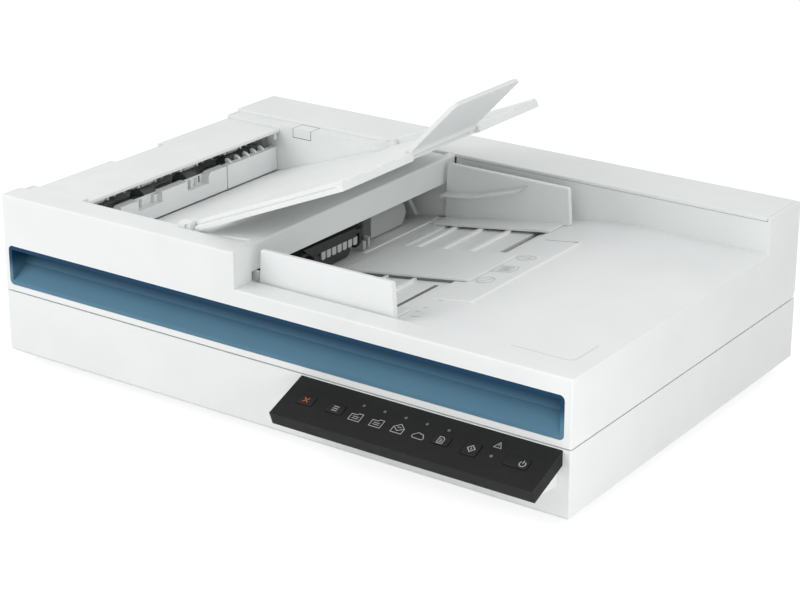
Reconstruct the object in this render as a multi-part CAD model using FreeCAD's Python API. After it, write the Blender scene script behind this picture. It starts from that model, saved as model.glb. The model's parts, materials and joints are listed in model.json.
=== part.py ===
"""Sheet fed document scanner: a flat base with a scanning carriage, under a hinged lid that holds a sheet feeder.

Millimetres. Pieces are modelled from the housing's front left corner on the desk: X to the right,
Y to the back, Z up. Each piece is moved to the row frame, whose origin is the middle of the whole
object's footprint on the desk, when it is saved.
"""
import FreeCAD
import Part
import math
import os

from FreeCAD import Vector

# ---------------------------------------------------------------- driving dimensions, housing
housing_w = 451.0
housing_d = 298.0
foot_height = 7.0
base_top = 52.5
lid_gap = 1.0
deck_top = 97.4
lid_top = 122.0
wall = 2.5
corner_r = 1.2
edge_r = 1.0
bottom_chamfer = 2.8
fit = 0.3
running = 0.05
plate = 2.5

# ---------------------------------------------------------------- base and flatbed
glass_thick = 3.0
platen_behind_strip = 18.0
platen_len = 300.0
platen_wide = 218.0
platen_off_path = 6.0
strip_x0 = 28.0
strip_wide = 16.0
glass_margin = 5.0
rod_r = 4.0
rod_before_middle = 12.0
rod_z = 18.0
carriage_wide = 24.0
carriage_top = 44.0
carriage_low = 24.0
carriage_home_x = 36.0
belt_behind_rod = 15.0
belt_low = 14.0
belt_tall = 6.0
belt_thick = 1.1
belt_pulley_r = 5.4
belt_end_left = 14.0
belt_end_in = 27.0
motor_shaft_r = 1.6
motor_can_r = 15.0
motor_plate_z = 22.0
motor_plate_thick = 2.0
boss_inset = 14.0
boss_r = 5.0
screw_r = 1.5
screw_head_r = 3.0
screw_seat = 36.0
foot_r = 8.0
foot_in_x = 34.0
foot_in_y = 30.0
board_x0 = 240.0
board_len = 100.0
board_deep = 62.0
board_in_y = 12.0
board_z = 12.5
board_thick = 1.5
post_r = 3.0
usb_x0 = 282.0
usb_wide = 12.0
power_x0 = 310.0
power_wide = 10.0
socket_tall = 11.0
socket_deep = 14.0

# ---------------------------------------------------------------- control panel
panel_in_x = 5.4
panel_wide = 189.6
panel_len = 35.8
panel_tilt = 21.6
panel_thick = 9.0
panel_skin = 2.2
panel_drop = 0.6
button_travel = 0.8
button_proud = 0.5
button_gap = 0.35
# name, distance from the panel's left end, width, distance down the slope, height along the slope
buttons = [
    ("cancel", 10.6, 12.0, 14.6, 7.4),
    ("menu", 33.0, 12.0, 14.6, 7.4),
    ("document", 110.8, 11.8, 14.6, 7.4),
    ("start", 132.6, 10.4, 13.0, 10.6),
    ("power", 161.0, 16.2, 14.2, 8.0),
]
lamp_first_in = 54.6
lamp_pitch = 15.5
lamp_count = 5
lamp_v = 9.5
lamp_r = 1.0

# ---------------------------------------------------------------- lid
rail_len = 203.0
rail_deep = 17.8
rear_rail_deep = 45.0
strip_plate = 2.3
grip_left = 4.0
grip_right = 5.0
grip_low = 57.7
grip_high = 86.0
grip_r = 3.5
grip_deep = 15.0
grip_skin = 1.4
lid_chamfer_y = 3.5
lid_chamfer_z = 7.0
hinge_in_y = 5.0
hinge_over_gap = 3.0
hinge_r = 3.6
hinge_pin_r = 1.8
hinge_wide = 24.0
hinge_ear = 6.0
hinge_inset = 58.0
hinge_leg_deep = 12.0
pad_gap = 1.5

# ---------------------------------------------------------------- sheet deck and guides
ramp_kink_x = 343.4
ramp_angle = 8.0
ramp_bend_r = 286.0
deck_thick = 4.0
deck_side = 1.6
guides_apart = 213.6
guide_thick = 4.0
guide_bevel = 0.8
guide_below_top = 2.6
guide_front_past_bar = 5.0
guide_rear_past_bar = 1.6
guide_front_len = 105.5
guide_rear_len = 103.5
guide_in_travel = 54.5
guide_out_travel = 1.5
flange_wide = 19.0
flange_thick = 1.5
flange_in = 2.4
fin_wide = 8.0
fin_thick = 1.5
pocket_deep = 1.6
pocket_x0 = 216.0
pocket_x1 = 300.0
rib_x = [225.0, 246.5, 269.0]
rib_wide = 2.4
slot_x = 289.5
slot_wide = 5.0
centre_wide = 57.0
centre_off_path = 4.0
centre_x0 = 210.0
centre_x1 = 311.0
centre_thick = 2.0
gear_module = 1.0
rack_teeth = 24
rack_low = 72.0
rack_tall = 5.0
rack_back = 5.0

# ---------------------------------------------------------------- feeder
pit_y0 = 25.0
ledge_wide = 12.0
ledge_below_top = 2.0
path_before_pit_middle = 2.0
cover_y0 = 31.0
cover_wide = 51.0
cover_below_ledge = 2.5
cover_thick = 2.2
cover_pin_x = 46.0
cover_pin_r = 2.0
cover_pin_below_top = 5.5
cover_rib_gap = 0.2
notch_y0 = 109.0
notch_y1 = 160.0
notch_deep = 6.5
cover_rib_short = 2.0
cover_block = 3.0
bar_in_rail = 1.0
bar_past_frame = 6.0
bar_tall = 19.4
bar_bend = 1.6
frame_past_bar = 3.0
frame_shelf = 4.0
bar_over_top = 0.4
floor_low_z = 82.0
floor_skin = 2.5
crest_x = 150.0
crest_below_ledge = 1.0
stop_x = 40.0
stop_thick = 2.5
turn_x = 33.0
turn_below_top = 43.0
turn_r = 25.0
turn_skin = 2.0
shaft_r = 3.0
transport_x = 17.7
transport_below_turn = 2.7
transport_r = 9.0
exit_x = 31.5
exit_r = 8.0
exit_over_turn = 16.5
idler_r = 4.6
idler_play = 0.9
stop_below_idler = 8.0
feed_x = 160.0
feed_r = 11.0
pick_x = 188.0
pick_r = 10.0
separation_r = 7.0
nip_gap = 0.3
arm_y0 = 77.0
arm_y1 = 144.0
arm_cheek = 3.0
tray_tilt = 22.7
tray_over_ledge = 2.6
tray_past_pit_front = 4.5
tray_past_pit_rear = 6.0
tray_pivot_x = 148.5
tray_under = 4.2
tray_floor = 2.0
tray_len = 127.0
tray_start = 8.0
tray_rim = 6.3
tray_rim_wide = 6.0
flap_wide = 76.0
flap_off_path = 3.0
flap_len = 53.0
flap_thick = 2.2
flap_tilt = 46.5
flap_axis_up = 1.0
flap_axis_in = 4.0
flag_x = 120.0
flag_y = 200.0
flag_z = 61.4
flag_r = 1.5
flag_half = 10.0
tab_x0 = 63.6
tab_wide = 16.6
tab_tall = 6.8
tab_thick = 1.0
gear_wide = 5.0
transport_teeth = 18
exit_teeth = 16
idler_teeth = 20
motor_teeth = 12
mesh_play = 0.1
motor_pulley_r = 6.0
feed_pulley_r = 9.0
belt_sheet = 1.2
rotor_shaft_r = 1.5
feeder_can_r = 14.0
axle_r = 2.0
idler_shaft_r = 1.6

# ---------------------------------------------------------------- worked out from the above
lid_low = base_top + lid_gap
bezel_low = base_top - plate
floor_z = foot_height + wall
glass_low = bezel_low - glass_thick
strip_x1 = strip_x0 + strip_wide
platen_x0 = strip_x1 + platen_behind_strip
platen_x1 = platen_x0 + platen_len
rod_y = housing_d / 2 - rod_before_middle
belt_y = rod_y + belt_behind_rod
belt_end_right = housing_w - belt_end_in
panel_x0 = housing_w - panel_in_x - panel_wide
rear_rail_y = housing_d - rear_rail_deep
hinge_y = housing_d - hinge_in_y
hinge_z = base_top + lid_gap + hinge_over_gap
pit_y1 = rear_rail_y - ledge_wide
path_mid_y = (pit_y0 + pit_y1) / 2 - path_before_pit_middle
platen_y0 = path_mid_y - platen_wide / 2 + platen_off_path
platen_y1 = platen_y0 + platen_wide
ledge_top = lid_top - ledge_below_top
cover_top = ledge_top - cover_below_ledge
cover_pin_z = cover_top - cover_pin_below_top
bar_top = lid_top + bar_over_top
bar_low = bar_top - bar_tall
bar_x1 = rail_len - bar_in_rail
frame_x1 = bar_x1 - bar_past_frame
crest_z = ledge_top - crest_below_ledge
turn_z = lid_top - turn_below_top
transport_z = turn_z - transport_below_turn
exit_z = turn_z + exit_over_turn
idler_z = exit_z + exit_r + idler_r + idler_play
stop_top = idler_z - stop_below_idler
cover_reach = cover_pin_x - wall - 1 - cover_rib_gap
tray_pivot_z = ledge_top + tray_over_ledge
tray_y0 = pit_y0 - tray_past_pit_front
tray_y1 = pit_y1 + tray_past_pit_rear
flap_y0 = path_mid_y + flap_off_path - flap_wide / 2
flap_y1 = flap_y0 + flap_wide
guide_top = lid_top - guide_below_top
button_places = [(name, panel_x0 + in_x, wide, v0, tall) for name, in_x, wide, v0, tall in buttons]
lamp_first_x = panel_x0 + lamp_first_in
centre_y0 = path_mid_y + centre_off_path - centre_wide / 2
centre_y1 = centre_y0 + centre_wide
panel_x1 = panel_x0 + panel_wide
panel_top_z = base_top - panel_drop
panel_reach = panel_len * math.cos(math.radians(panel_tilt))
middle_y = (housing_d - panel_reach) / 2
lid_floor = lid_low + plate
ramp_slope = math.tan(math.radians(ramp_angle))
board_x1 = board_x0 + board_len
board_y1 = housing_d - board_in_y
board_y0 = board_y1 - board_deep
socket_low = board_z + board_thick
hinge_leg_y1 = housing_d - wall - 0.5
hinge_leg_y0 = hinge_leg_y1 - hinge_leg_deep
frame_x0 = wall + 0.5
gear_y0 = pit_y1 + wall + 1.5
gear_y1 = gear_y0 + gear_wide
motor_face_y = gear_y1 + 4.5
arm_mid_y = (arm_y0 + arm_y1) / 2
exit_y0 = pit_y0 + fit
exit_y1 = pit_y1 - fit
guide_front_y = path_mid_y - guides_apart / 2
strip_edge_y = guide_front_y - guide_thick - guide_out_travel - fit
carriage_travel = platen_x1 - carriage_wide / 2 - carriage_home_x


def ramp_z(x):
    """Height of the deck's straight ramp, or of the level deck past its kink."""
    return deck_top - max(0.0, ramp_kink_x - x) * ramp_slope


feed_z = ramp_z(feed_x) + nip_gap + feed_r
pick_z = ramp_z(pick_x) + nip_gap + pick_r
separation_z = ramp_z(feed_x) - separation_r
pinion_r = gear_module * rack_teeth / 2
pinion_x = slot_x - pinion_r


# ---------------------------------------------------------------- small helpers
def box(x0, x1, y0, y1, z0, z1):
    return Part.makeBox(x1 - x0, y1 - y0, z1 - z0, Vector(x0, y0, z0))


def prism_along_y(points, y0, y1):
    """Extrude an outline given as (x, z) points from y0 to y1."""
    corners = [Vector(x, y0, z) for x, z in points]
    face = Part.Face(Part.makePolygon(corners + corners[:1]))
    return face.extrude(Vector(0, y1 - y0, 0))


def prism_along_x(points, x0, x1):
    """Extrude an outline given as (y, z) points from x0 to x1."""
    corners = [Vector(x0, y, z) for y, z in points]
    face = Part.Face(Part.makePolygon(corners + corners[:1]))
    return face.extrude(Vector(x1 - x0, 0, 0))


def rod_y_axis(x, z, r, y0, y1):
    return Part.makeCylinder(r, y1 - y0, Vector(x, y0, z), Vector(0, 1, 0))


def rod_x_axis(y, z, r, x0, x1):
    return Part.makeCylinder(r, x1 - x0, Vector(x0, y, z), Vector(1, 0, 0))


def rod_z_axis(x, y, r, z0, z1):
    return Part.makeCylinder(r, z1 - z0, Vector(x, y, z0), Vector(0, 0, 1))


def joined(shapes):
    whole = shapes[0]
    for shape in shapes[1:]:
        whole = whole.fuse(shape)
    return whole.removeSplitter()


def without(shape, tools):
    for tool in tools:
        shape = shape.cut(tool)
    return shape


def upright_edges(shape):
    return [e for e in shape.Edges if abs(e.BoundBox.ZLength) > 0.9 * shape.BoundBox.ZLength]


def level_edges(shape, z):
    return [e for e in shape.Edges if e.BoundBox.ZLength < 1e-6 and abs(e.BoundBox.ZMin - z) < 1e-6]


def rounded_block(x0, x1, y0, y1, z0, z1, r):
    block = box(x0, x1, y0, y1, z0, z1)
    return block.makeFillet(r, upright_edges(block))


def on_panel(shape):
    """Tilt a piece modelled flat, with y = 0 at the panel's top edge and z = 0 on its face."""
    turned = shape.copy()
    turned.rotate(Vector(0, 0, 0), Vector(1, 0, 0), panel_tilt)
    turned.translate(Vector(0, 0, panel_top_z))
    return turned


def on_tray(shape, tilt, x, z):
    """Tilt a piece modelled along +X about an axis along Y, and set its origin at (x, z)."""
    turned = shape.copy()
    turned.rotate(Vector(0, 0, 0), Vector(0, 1, 0), -tilt)
    turned.translate(Vector(x, 0, z))
    return turned


def gear_outline(teeth, phase):
    """Points around a spur gear with one tooth centred at angle phase, in radians."""
    pitch_angle = 2 * math.pi / teeth
    root = gear_module * (teeth - 2.5) / 2
    middle = gear_module * teeth / 2
    tip = gear_module * (teeth + 1.8) / 2
    flank = [(root, -0.31), (middle, -0.23), (tip, -0.12), (tip, 0.12), (middle, 0.23), (root, 0.31)]
    points = []
    for tooth in range(teeth):
        for radius, share in flank:
            angle = phase + (tooth + share) * pitch_angle
            points.append((radius * math.cos(angle), radius * math.sin(angle)))
    return points


def gear_along_y(teeth, phase, x, z, y0, y1):
    points = [(x + px, z + pz) for px, pz in gear_outline(teeth, phase)]
    return prism_along_y(points, y0, y1)


def meshing_phase(phase, teeth, direction, other_teeth):
    """Phase of a gear that meshes with one at angle direction from it."""
    share = (direction - phase) * teeth / (2 * math.pi)
    return direction + math.pi - 2 * math.pi / other_teeth * (0.5 - share)


def two_circle_hull(c0, r0, c1, r1, y0, y1):
    """Solid of the convex hull of two circles in the XZ plane."""
    dx = c1[0] - c0[0]
    dz = c1[1] - c0[1]
    span = math.hypot(dx, dz)
    lean = math.acos((r0 - r1) / span)
    line = math.atan2(dz, dx)
    points = []
    for centre, r, side in ((c0, r0, 1), (c1, r1, 1), (c1, r1, -1), (c0, r0, -1)):
        angle = line + side * lean
        points.append((centre[0] + r * math.cos(angle), centre[1] + r * math.sin(angle)))
    middle = prism_along_y(points, y0, y1)
    ends = [rod_y_axis(c0[0], c0[1], r0, y0, y1), rod_y_axis(c1[0], c1[1], r1, y0, y1)]
    return joined([middle] + ends)


# ---------------------------------------------------------------- base
def boss_places():
    xs = (boss_inset, housing_w - boss_inset)
    ys = (boss_inset, housing_d - boss_inset)
    return [(x, y) for x in xs for y in ys]


def hinge_places():
    """Left end of each of the two hinges, along X."""
    return [hinge_inset, housing_w - hinge_inset - hinge_wide]


def base_tub():
    outer = rounded_block(0, housing_w, 0, housing_d, foot_height, base_top, corner_r)
    block = box(0, housing_w, 0, housing_d, foot_height, base_top)
    outer = outer.common(block.makeChamfer(bottom_chamfer, level_edges(block, foot_height)))
    inside = box(wall, housing_w - wall, wall, housing_d - wall, floor_z, base_top + 1)
    tub = outer.cut(inside)
    ledge = 2.0
    ring = box(wall, housing_w - wall, wall, housing_d - wall, bezel_low - 3, bezel_low)
    hole = box(wall + ledge, housing_w - wall - ledge, wall + ledge, housing_d - wall - ledge,
               bezel_low - 4, bezel_low + 1)
    adds = [tub, ring.cut(hole)]
    for x, y in boss_places():
        adds.append(rod_z_axis(x, y, boss_r, floor_z, bezel_low))
    for x0 in (wall, housing_w - wall - 8):
        adds.append(box(x0, x0 + 8, rod_y - 7, rod_y + 7, floor_z, rod_z + 7))
    adds.append(rod_z_axis(belt_end_left, belt_y, axle_r, floor_z, belt_low + belt_tall + 1))
    for side in (-1, 1):
        adds.append(rod_z_axis(belt_end_right, belt_y + side * (motor_can_r + post_r), post_r, floor_z, motor_plate_z))
    for x in (board_x0 + 2 * post_r, board_x1 - 2 * post_r):
        for y in (board_y0 + 2 * post_r, board_y1 - 2 * post_r):
            adds.append(rod_z_axis(x, y, post_r, floor_z, board_z))
    tub = joined(adds)
    cuts = [rod_x_axis(rod_y, rod_z, rod_r + running, wall + 1, housing_w - wall - 1)]
    for x, y in boss_places():
        cuts.append(rod_z_axis(x, y, screw_r + 0.2, foot_height - 1, base_top))
        cuts.append(rod_z_axis(x, y, screw_head_r + fit, foot_height - 1, screw_seat))
    cuts.append(socket_hole(usb_x0, usb_wide))
    cuts.append(socket_hole(power_x0, power_wide))
    for x0 in hinge_places():
        cuts.append(box(x0 + hinge_ear, x0 + hinge_wide - hinge_ear, hinge_leg_y0, hinge_leg_y1,
                        bezel_low - 4, base_top))
    return without(tub, cuts)


def socket_hole(x0, wide):
    return box(x0 - fit, x0 + wide + fit, housing_d - wall - 1, housing_d + 1,
               socket_low - fit, socket_low + socket_tall + fit)


def base_bezel():
    top = box(wall + fit, housing_w - wall - fit, wall + fit, housing_d - wall - fit, bezel_low, base_top)
    cuts = [
        box(platen_x0, platen_x1, platen_y0, platen_y1, bezel_low - 1, base_top + 1),
        box(strip_x0, strip_x1, platen_y0, platen_y1, bezel_low - 1, base_top + 1),
    ]
    for x, y in boss_places():
        cuts.append(rod_z_axis(x, y, screw_r + running, bezel_low - 1, base_top - 1))
    for x0 in hinge_places():
        cuts.append(box(x0 + hinge_ear - fit, x0 + hinge_wide - hinge_ear + fit, hinge_leg_y0 - fit, housing_d,
                        bezel_low - 1, base_top + 1))
    return without(top, cuts)


def scan_glass():
    """Two panes under the bezel: the platen and the narrow strip that fed sheets pass over."""
    m = glass_margin
    platen = box(platen_x0 - m, platen_x1 + m, platen_y0 - m, platen_y1 + m, glass_low, bezel_low)
    strip = box(strip_x0 - m, strip_x1 + m, platen_y0 - m, platen_y1 + m, bezel_low - 1.8, bezel_low)
    return Part.makeCompound([platen, strip])


def scan_carriage():
    half = carriage_wide / 2
    x0 = carriage_home_x - half
    x1 = carriage_home_x + half
    body = box(x0, x1, platen_y0 - 6, platen_y1 + 2, carriage_low, carriage_top)
    slider = box(x0 + 2, x1 - 2, rod_y - 8, rod_y + 8, rod_z - 6, carriage_low)
    jaw_y = belt_y - belt_pulley_r - fit - belt_thick / 2
    clip = box(x0 + 6, x1 - 6, jaw_y - 3, jaw_y + 3, belt_low, carriage_low)
    groove = box(x0, x1, jaw_y - belt_thick / 2 - 0.2, jaw_y + belt_thick / 2 + 0.2,
                 belt_low - 1, belt_low + belt_tall + 0.4)
    bore = rod_x_axis(rod_y, rod_z, rod_r + running, x0, x1)
    lens_seat = box(carriage_home_x - 5, carriage_home_x + 5, platen_y0 - 2, platen_y1 - 2,
                    carriage_top - 6, carriage_top + 1)
    return without(joined([body, slider, clip]), [groove, bore, lens_seat])


def carriage_lens():
    base = box(carriage_home_x - 5, carriage_home_x + 5, platen_y0 - 2, platen_y1 - 2,
               carriage_top - 6, carriage_top)
    row = box(carriage_home_x - 1.5, carriage_home_x + 1.5, platen_y0, platen_y1 - 4,
              carriage_top, glass_low - 0.8)
    return joined([base, row])


def guide_rod():
    return rod_x_axis(rod_y, rod_z, rod_r, wall + 1.2, housing_w - wall - 1.2)


def drive_belt():
    inner_r = belt_pulley_r + fit
    outer_r = inner_r + belt_thick
    loops = []
    for r in (outer_r, inner_r):
        straight = box(belt_end_left, belt_end_right, belt_y - r, belt_y + r, belt_low, belt_low + belt_tall)
        ends = [rod_z_axis(x, belt_y, r, belt_low, belt_low + belt_tall)
                for x in (belt_end_left, belt_end_right)]
        loops.append(joined([straight] + ends))
    return loops[0].cut(loops[1])


def belt_pulley(x, shaft_top):
    """A flanged pulley; the motor's one carries its shaft, the idler one has a bore."""
    body = rod_z_axis(x, belt_y, belt_pulley_r, belt_low - 0.4, belt_low + belt_tall + 0.4)
    for z in (belt_low - 1.6, belt_low + belt_tall + 0.4):
        body = body.fuse(rod_z_axis(x, belt_y, belt_pulley_r + 2, z, z + 0.8 if z > belt_low else z + 1.2))
    if shaft_top:
        return joined([body, rod_z_axis(x, belt_y, motor_shaft_r, belt_low, shaft_top)])
    return body.cut(rod_z_axis(x, belt_y, axle_r + running, 0, base_top))


def carriage_motor():
    x = belt_end_right
    half = motor_can_r + 2 * post_r
    top = motor_plate_z + motor_plate_thick
    flange = box(x - motor_can_r, x + motor_can_r, belt_y - half, belt_y + half, motor_plate_z, top)
    can = rod_z_axis(x, belt_y, motor_can_r, top, bezel_low - 4)
    bore = rod_z_axis(x, belt_y, motor_shaft_r + running, 0, motor_plate_z + 14)
    return joined([flange, can]).cut(bore)


def main_board():
    board = box(board_x0, board_x1, board_y0, board_y1, board_z, socket_low)
    chips = []
    for x, y, size in ((board_x0 + 12, board_y0 + 16, 14), (board_x0 + 36, board_y0 + 18, 9),
                       (board_x0 + 62, board_y0 + 14, 11)):
        chips.append(box(x, x + size, y, y + size, socket_low, socket_low + 1.4))
    header = box(board_x1 - 30, board_x1 - 6, board_y0 + 8, board_y0 + 14, socket_low, socket_low + 6)
    return joined([board] + chips + [header])


def usb_socket():
    shell = box(usb_x0, usb_x0 + usb_wide, housing_d - socket_deep, housing_d - 0.2,
                socket_low, socket_low + socket_tall)
    mouth = box(usb_x0 + 1.6, usb_x0 + usb_wide - 1.6, housing_d - socket_deep + 2.5, housing_d + 1,
                socket_low + 1.4, socket_low + socket_tall - 1.4)
    return shell.cut(mouth)


def power_inlet():
    block = box(power_x0, power_x0 + power_wide, housing_d - socket_deep, housing_d - 0.2,
                socket_low, socket_low + socket_tall)
    x = power_x0 + power_wide / 2
    z = socket_low + socket_tall / 2
    mouth = rod_y_axis(x, z, 3.2, housing_d - socket_deep + 3, housing_d + 1)
    pin = rod_y_axis(x, z, 0.9, housing_d - socket_deep + 3, housing_d - 2)
    return joined([block.cut(mouth), pin])


def rubber_feet():
    feet = []
    for x in (foot_in_x, housing_w - foot_in_x):
        for y in (foot_in_y, housing_d - foot_in_y):
            feet.append(rod_z_axis(x, y, foot_r, 0, foot_height))
    return Part.makeCompound(feet)


def base_screws():
    screws = []
    for x, y in boss_places():
        head = rod_z_axis(x, y, screw_head_r, screw_seat - 2.2, screw_seat)
        shank = rod_z_axis(x, y, screw_r, screw_seat, base_top - 1.2)
        screws.append(joined([head, shank]))
    return Part.makeCompound(screws)


def hinge_posts():
    posts = []
    for x0 in hinge_places():
        a = x0 + hinge_ear
        b = x0 + hinge_wide - hinge_ear
        leg = box(a, b, hinge_leg_y0, hinge_leg_y1, floor_z, base_top)
        neck = box(a, b, hinge_y - hinge_r, hinge_leg_y1, base_top, hinge_z)
        ear = rod_x_axis(hinge_y, hinge_z, hinge_r, a, b)
        pin = rod_x_axis(hinge_y, hinge_z, hinge_pin_r, x0, x0 + hinge_wide)
        posts.append(joined([leg, neck, ear, pin]))
    return Part.makeCompound(posts)


# ---------------------------------------------------------------- control panel
def button_hole(x0, wide, v0, tall, grow, z0, z1):
    block = box(x0 - grow, x0 + wide + grow, -v0 - tall - grow, -v0 + grow, z0, z1)
    return block.makeFillet(1.2 + grow, upright_edges(block))


def lamp_places():
    """Lamp centres on the panel: (x, distance down the slope)."""
    row = [(lamp_first_x + i * lamp_pitch, lamp_v) for i in range(lamp_count)]
    return row + [(panel_x1 - 37.6, 19.1)]


def front_half():
    """Everything in front of the housing's front face."""
    return box(-10, housing_w + 10, -100, 0, -10, lid_top)


def control_panel():
    block = box(panel_x0, panel_x1, -panel_len, 6, -panel_thick, 0)
    hollow = box(panel_x0 + 2, panel_x1 - 2, -panel_len + 2, -5, -panel_thick - 1, -panel_skin)
    shell = block.cut(hollow)
    for name, x0, wide, v0, tall in button_places:
        shell = shell.cut(button_hole(x0, wide, v0, tall, button_gap, -panel_skin - 1, 1))
    for x, v in lamp_places():
        shell = shell.cut(rod_z_axis(x, -v, lamp_r + running, -panel_skin - 1, 1))
    return on_panel(shell).common(front_half())


def panel_base():
    under = box(panel_x0 + 2.1, panel_x1 - 2.1, -panel_len + 2.1, -5.1, -panel_thick, -panel_thick + 1.5)
    rests = [under]
    for x in (panel_x0 + 20, panel_x1 - 20):
        for v in (8.0, 30.0):
            rests.append(box(x - 2, x + 2, -v - 1.5, -v + 1.5, -panel_thick + 1.5, -6.2))
    return on_panel(joined(rests))


def panel_board():
    board = [box(panel_x0 + 4, panel_x1 - 4, -33, -6.5, -6.2, -5.0)]
    for name, x0, wide, v0, tall in button_places:
        board.append(rod_z_axis(x0 + wide / 2, -v0 - tall / 2, 1.6, -5.0, -3.1 - button_travel - 0.1))
    return on_panel(joined(board))


def button_cap(x0, wide, v0, tall):
    cap = button_hole(x0, wide, v0, tall, 0, -2.6, button_proud)
    rim = [e for e in cap.Edges if e.BoundBox.ZMin > button_proud - 1e-6]
    cap = cap.makeFillet(0.35, rim)
    skirt = button_hole(x0, wide, v0, tall, 0.9, -3.1, -panel_skin - 0.1)
    return on_panel(joined([cap, skirt]))


def status_lights():
    lamps = []
    for x, v in lamp_places():
        lamps.append(on_panel(rod_z_axis(x, -v, lamp_r, -5.0, 0.05)))
    return Part.makeCompound(lamps)


def panel_wedge():
    slope = math.tan(math.radians(panel_tilt))
    under = panel_top_z - panel_thick / math.cos(math.radians(panel_tilt))
    outline = [(0, under), (-21, under - 21 * slope), (-18, 29.8), (0, 28.0)]
    return prism_along_x(outline, panel_x0 + 8, panel_x1 - 3)


# ---------------------------------------------------------------- lid housing
def lid_envelope():
    """Outer form of the lid: level deck at the right, a low front rail and a long rear rail."""
    low = rounded_block(0, housing_w, 0, housing_d, lid_low, deck_top, corner_r)
    low = low.makeFillet(edge_r, level_edges(low, deck_top))
    high = rounded_block(0, housing_w, 0, housing_d, lid_low, lid_top, corner_r)
    high = high.makeFillet(edge_r, level_edges(high, lid_top))
    keep = [
        box(-1, rail_len, -1, rail_deep, lid_low, lid_top + 1),
        box(-1, wall, -1, housing_d, lid_low, ledge_top),
        box(-1, housing_w + 1, rear_rail_y, housing_d + 1, lid_low, lid_top + 1),
    ]
    return low.fuse(high.common(joined(keep)))


def grip_window(grow, y0, y1):
    block = box(grip_left - grow, housing_w - grip_right + grow, y0, y1, grip_low - grow, grip_high + grow)
    edges = [e for e in block.Edges if e.BoundBox.YLength > 0.9 * (y1 - y0)]
    return block.makeFillet(grip_r + grow, edges)


def lid_shell():
    plate_low = lid_top - strip_plate
    back = housing_d - wall
    foot_y = housing_d - lid_chamfer_y
    parts = [
        box(0, housing_w, 0, wall, lid_low, lid_top),
        box(0, wall, 0, housing_d, lid_low, lid_top),
        box(housing_w - wall, housing_w, 0, housing_d, lid_low, lid_top),
        box(0, housing_w, back, housing_d, lid_low, lid_top),
        box(0, rail_len, 0, rail_deep, lid_top - wall, lid_top),
        box(0, rail_len, rail_deep - wall, rail_deep, deck_top - 6, lid_top),
        box(rail_len - wall, rail_len, 0, rail_deep, deck_top - 6, lid_top),
        box(rail_len, housing_w, rear_rail_y, rear_rail_y + wall, deck_top - 8, plate_low - 0.4),
        prism_along_x([(foot_y - wall, lid_low), (foot_y, lid_low), (housing_d, lid_low + lid_chamfer_z),
                       (housing_d, lid_low + 12), (back, lid_low + 12), (back, lid_low + 9)], 0, housing_w),
    ]
    shell = joined(parts).common(lid_envelope())
    cuts = [
        grip_window(0, -1, wall + 1),
        box(-1, wall + 1, cover_y0 - fit, pit_y1 + fit, cover_top - cover_thick - fit, lid_top + 1),
        box(wall, housing_w - wall, rear_rail_y - 0.4, housing_d + 1, plate_low, lid_top + 1),
        box(-1, wall, rear_rail_y - 0.4, housing_d + 1, plate_low, lid_top + 1),
        prism_along_x([(foot_y, lid_low - 1), (foot_y, lid_low), (housing_d, lid_low + lid_chamfer_z),
                       (housing_d + 1, lid_low + lid_chamfer_z), (housing_d + 1, lid_low - 1)],
                      -1, housing_w + 1),
    ]
    for x0 in hinge_places():
        cuts.append(box(x0 - 1, x0 + hinge_wide + 1, hinge_y - 8, housing_d + 1, lid_low - 1, lid_low + 10))
    return without(shell, cuts)


def rear_cover_plate():
    low = lid_top - strip_plate
    block = rounded_block(0, housing_w - wall - 0.4, rear_rail_y - 0.2, housing_d, low, lid_top, 1.0)
    return block.makeFillet(0.8, level_edges(block, lid_top))


def grip_recess():
    """Insert that lines the grip window: a frame lip, a sloping floor and a closed top."""
    x0 = grip_left + 0.2
    x1 = housing_w - grip_right - 0.2
    low = grip_low + 0.2
    high = grip_high - 0.2
    rise = 0.75 * (high - low)
    outline = [(0.1, low), (grip_deep + grip_skin, low + 8), (grip_deep + grip_skin, high), (0.1, high)]
    body = prism_along_x(outline, x0, x1)
    body = body.common(grip_window(-0.2, 0, grip_deep + 3))
    lip = 2.6
    space = prism_along_x([(-1, low + lip - 0.5), (0, low + lip), (grip_deep - 3, low + rise * 0.6),
                           (grip_deep, low + rise), (grip_deep, high - lip), (-1, high - lip)],
                          x0 + lip, x1 - lip)
    return body.cut(space)


def lid_base():
    edge = lid_chamfer_y + wall + fit
    block = box(wall + fit, housing_w - wall - fit, wall + fit, housing_d - edge, lid_low, lid_floor)
    cuts = [box(strip_x0 - 6, strip_x1 + 6, platen_y0 - 4, platen_y1 + 2, lid_low - 1, lid_floor + 1)]
    for x0 in hinge_places():
        cuts.append(box(x0 + hinge_ear - 1, x0 + hinge_wide - hinge_ear + 1, hinge_leg_y0 - 1, housing_d,
                        lid_low - 1, lid_floor + 1))
        cuts.append(box(x0 - 1, x0 + hinge_wide + 1, hinge_y - hinge_r - 1, housing_d, lid_low - 1, lid_floor + 1))
    return without(block, cuts)


def platen_pad():
    return box(platen_x0 + pad_gap, platen_x1 - pad_gap, platen_y0 + pad_gap, platen_y1 - pad_gap,
               bezel_low + 0.3, lid_low)


def presser_plate():
    wide = box(strip_x0 - 8, strip_x1 + 8, exit_y0, exit_y1, lid_floor, lid_floor + 1.2)
    nose = box(strip_x0 - 5, strip_x1 + 5, platen_y0 - 2, platen_y1 - 6, lid_low - 0.1, lid_floor)
    return joined([wide, nose])


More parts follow.
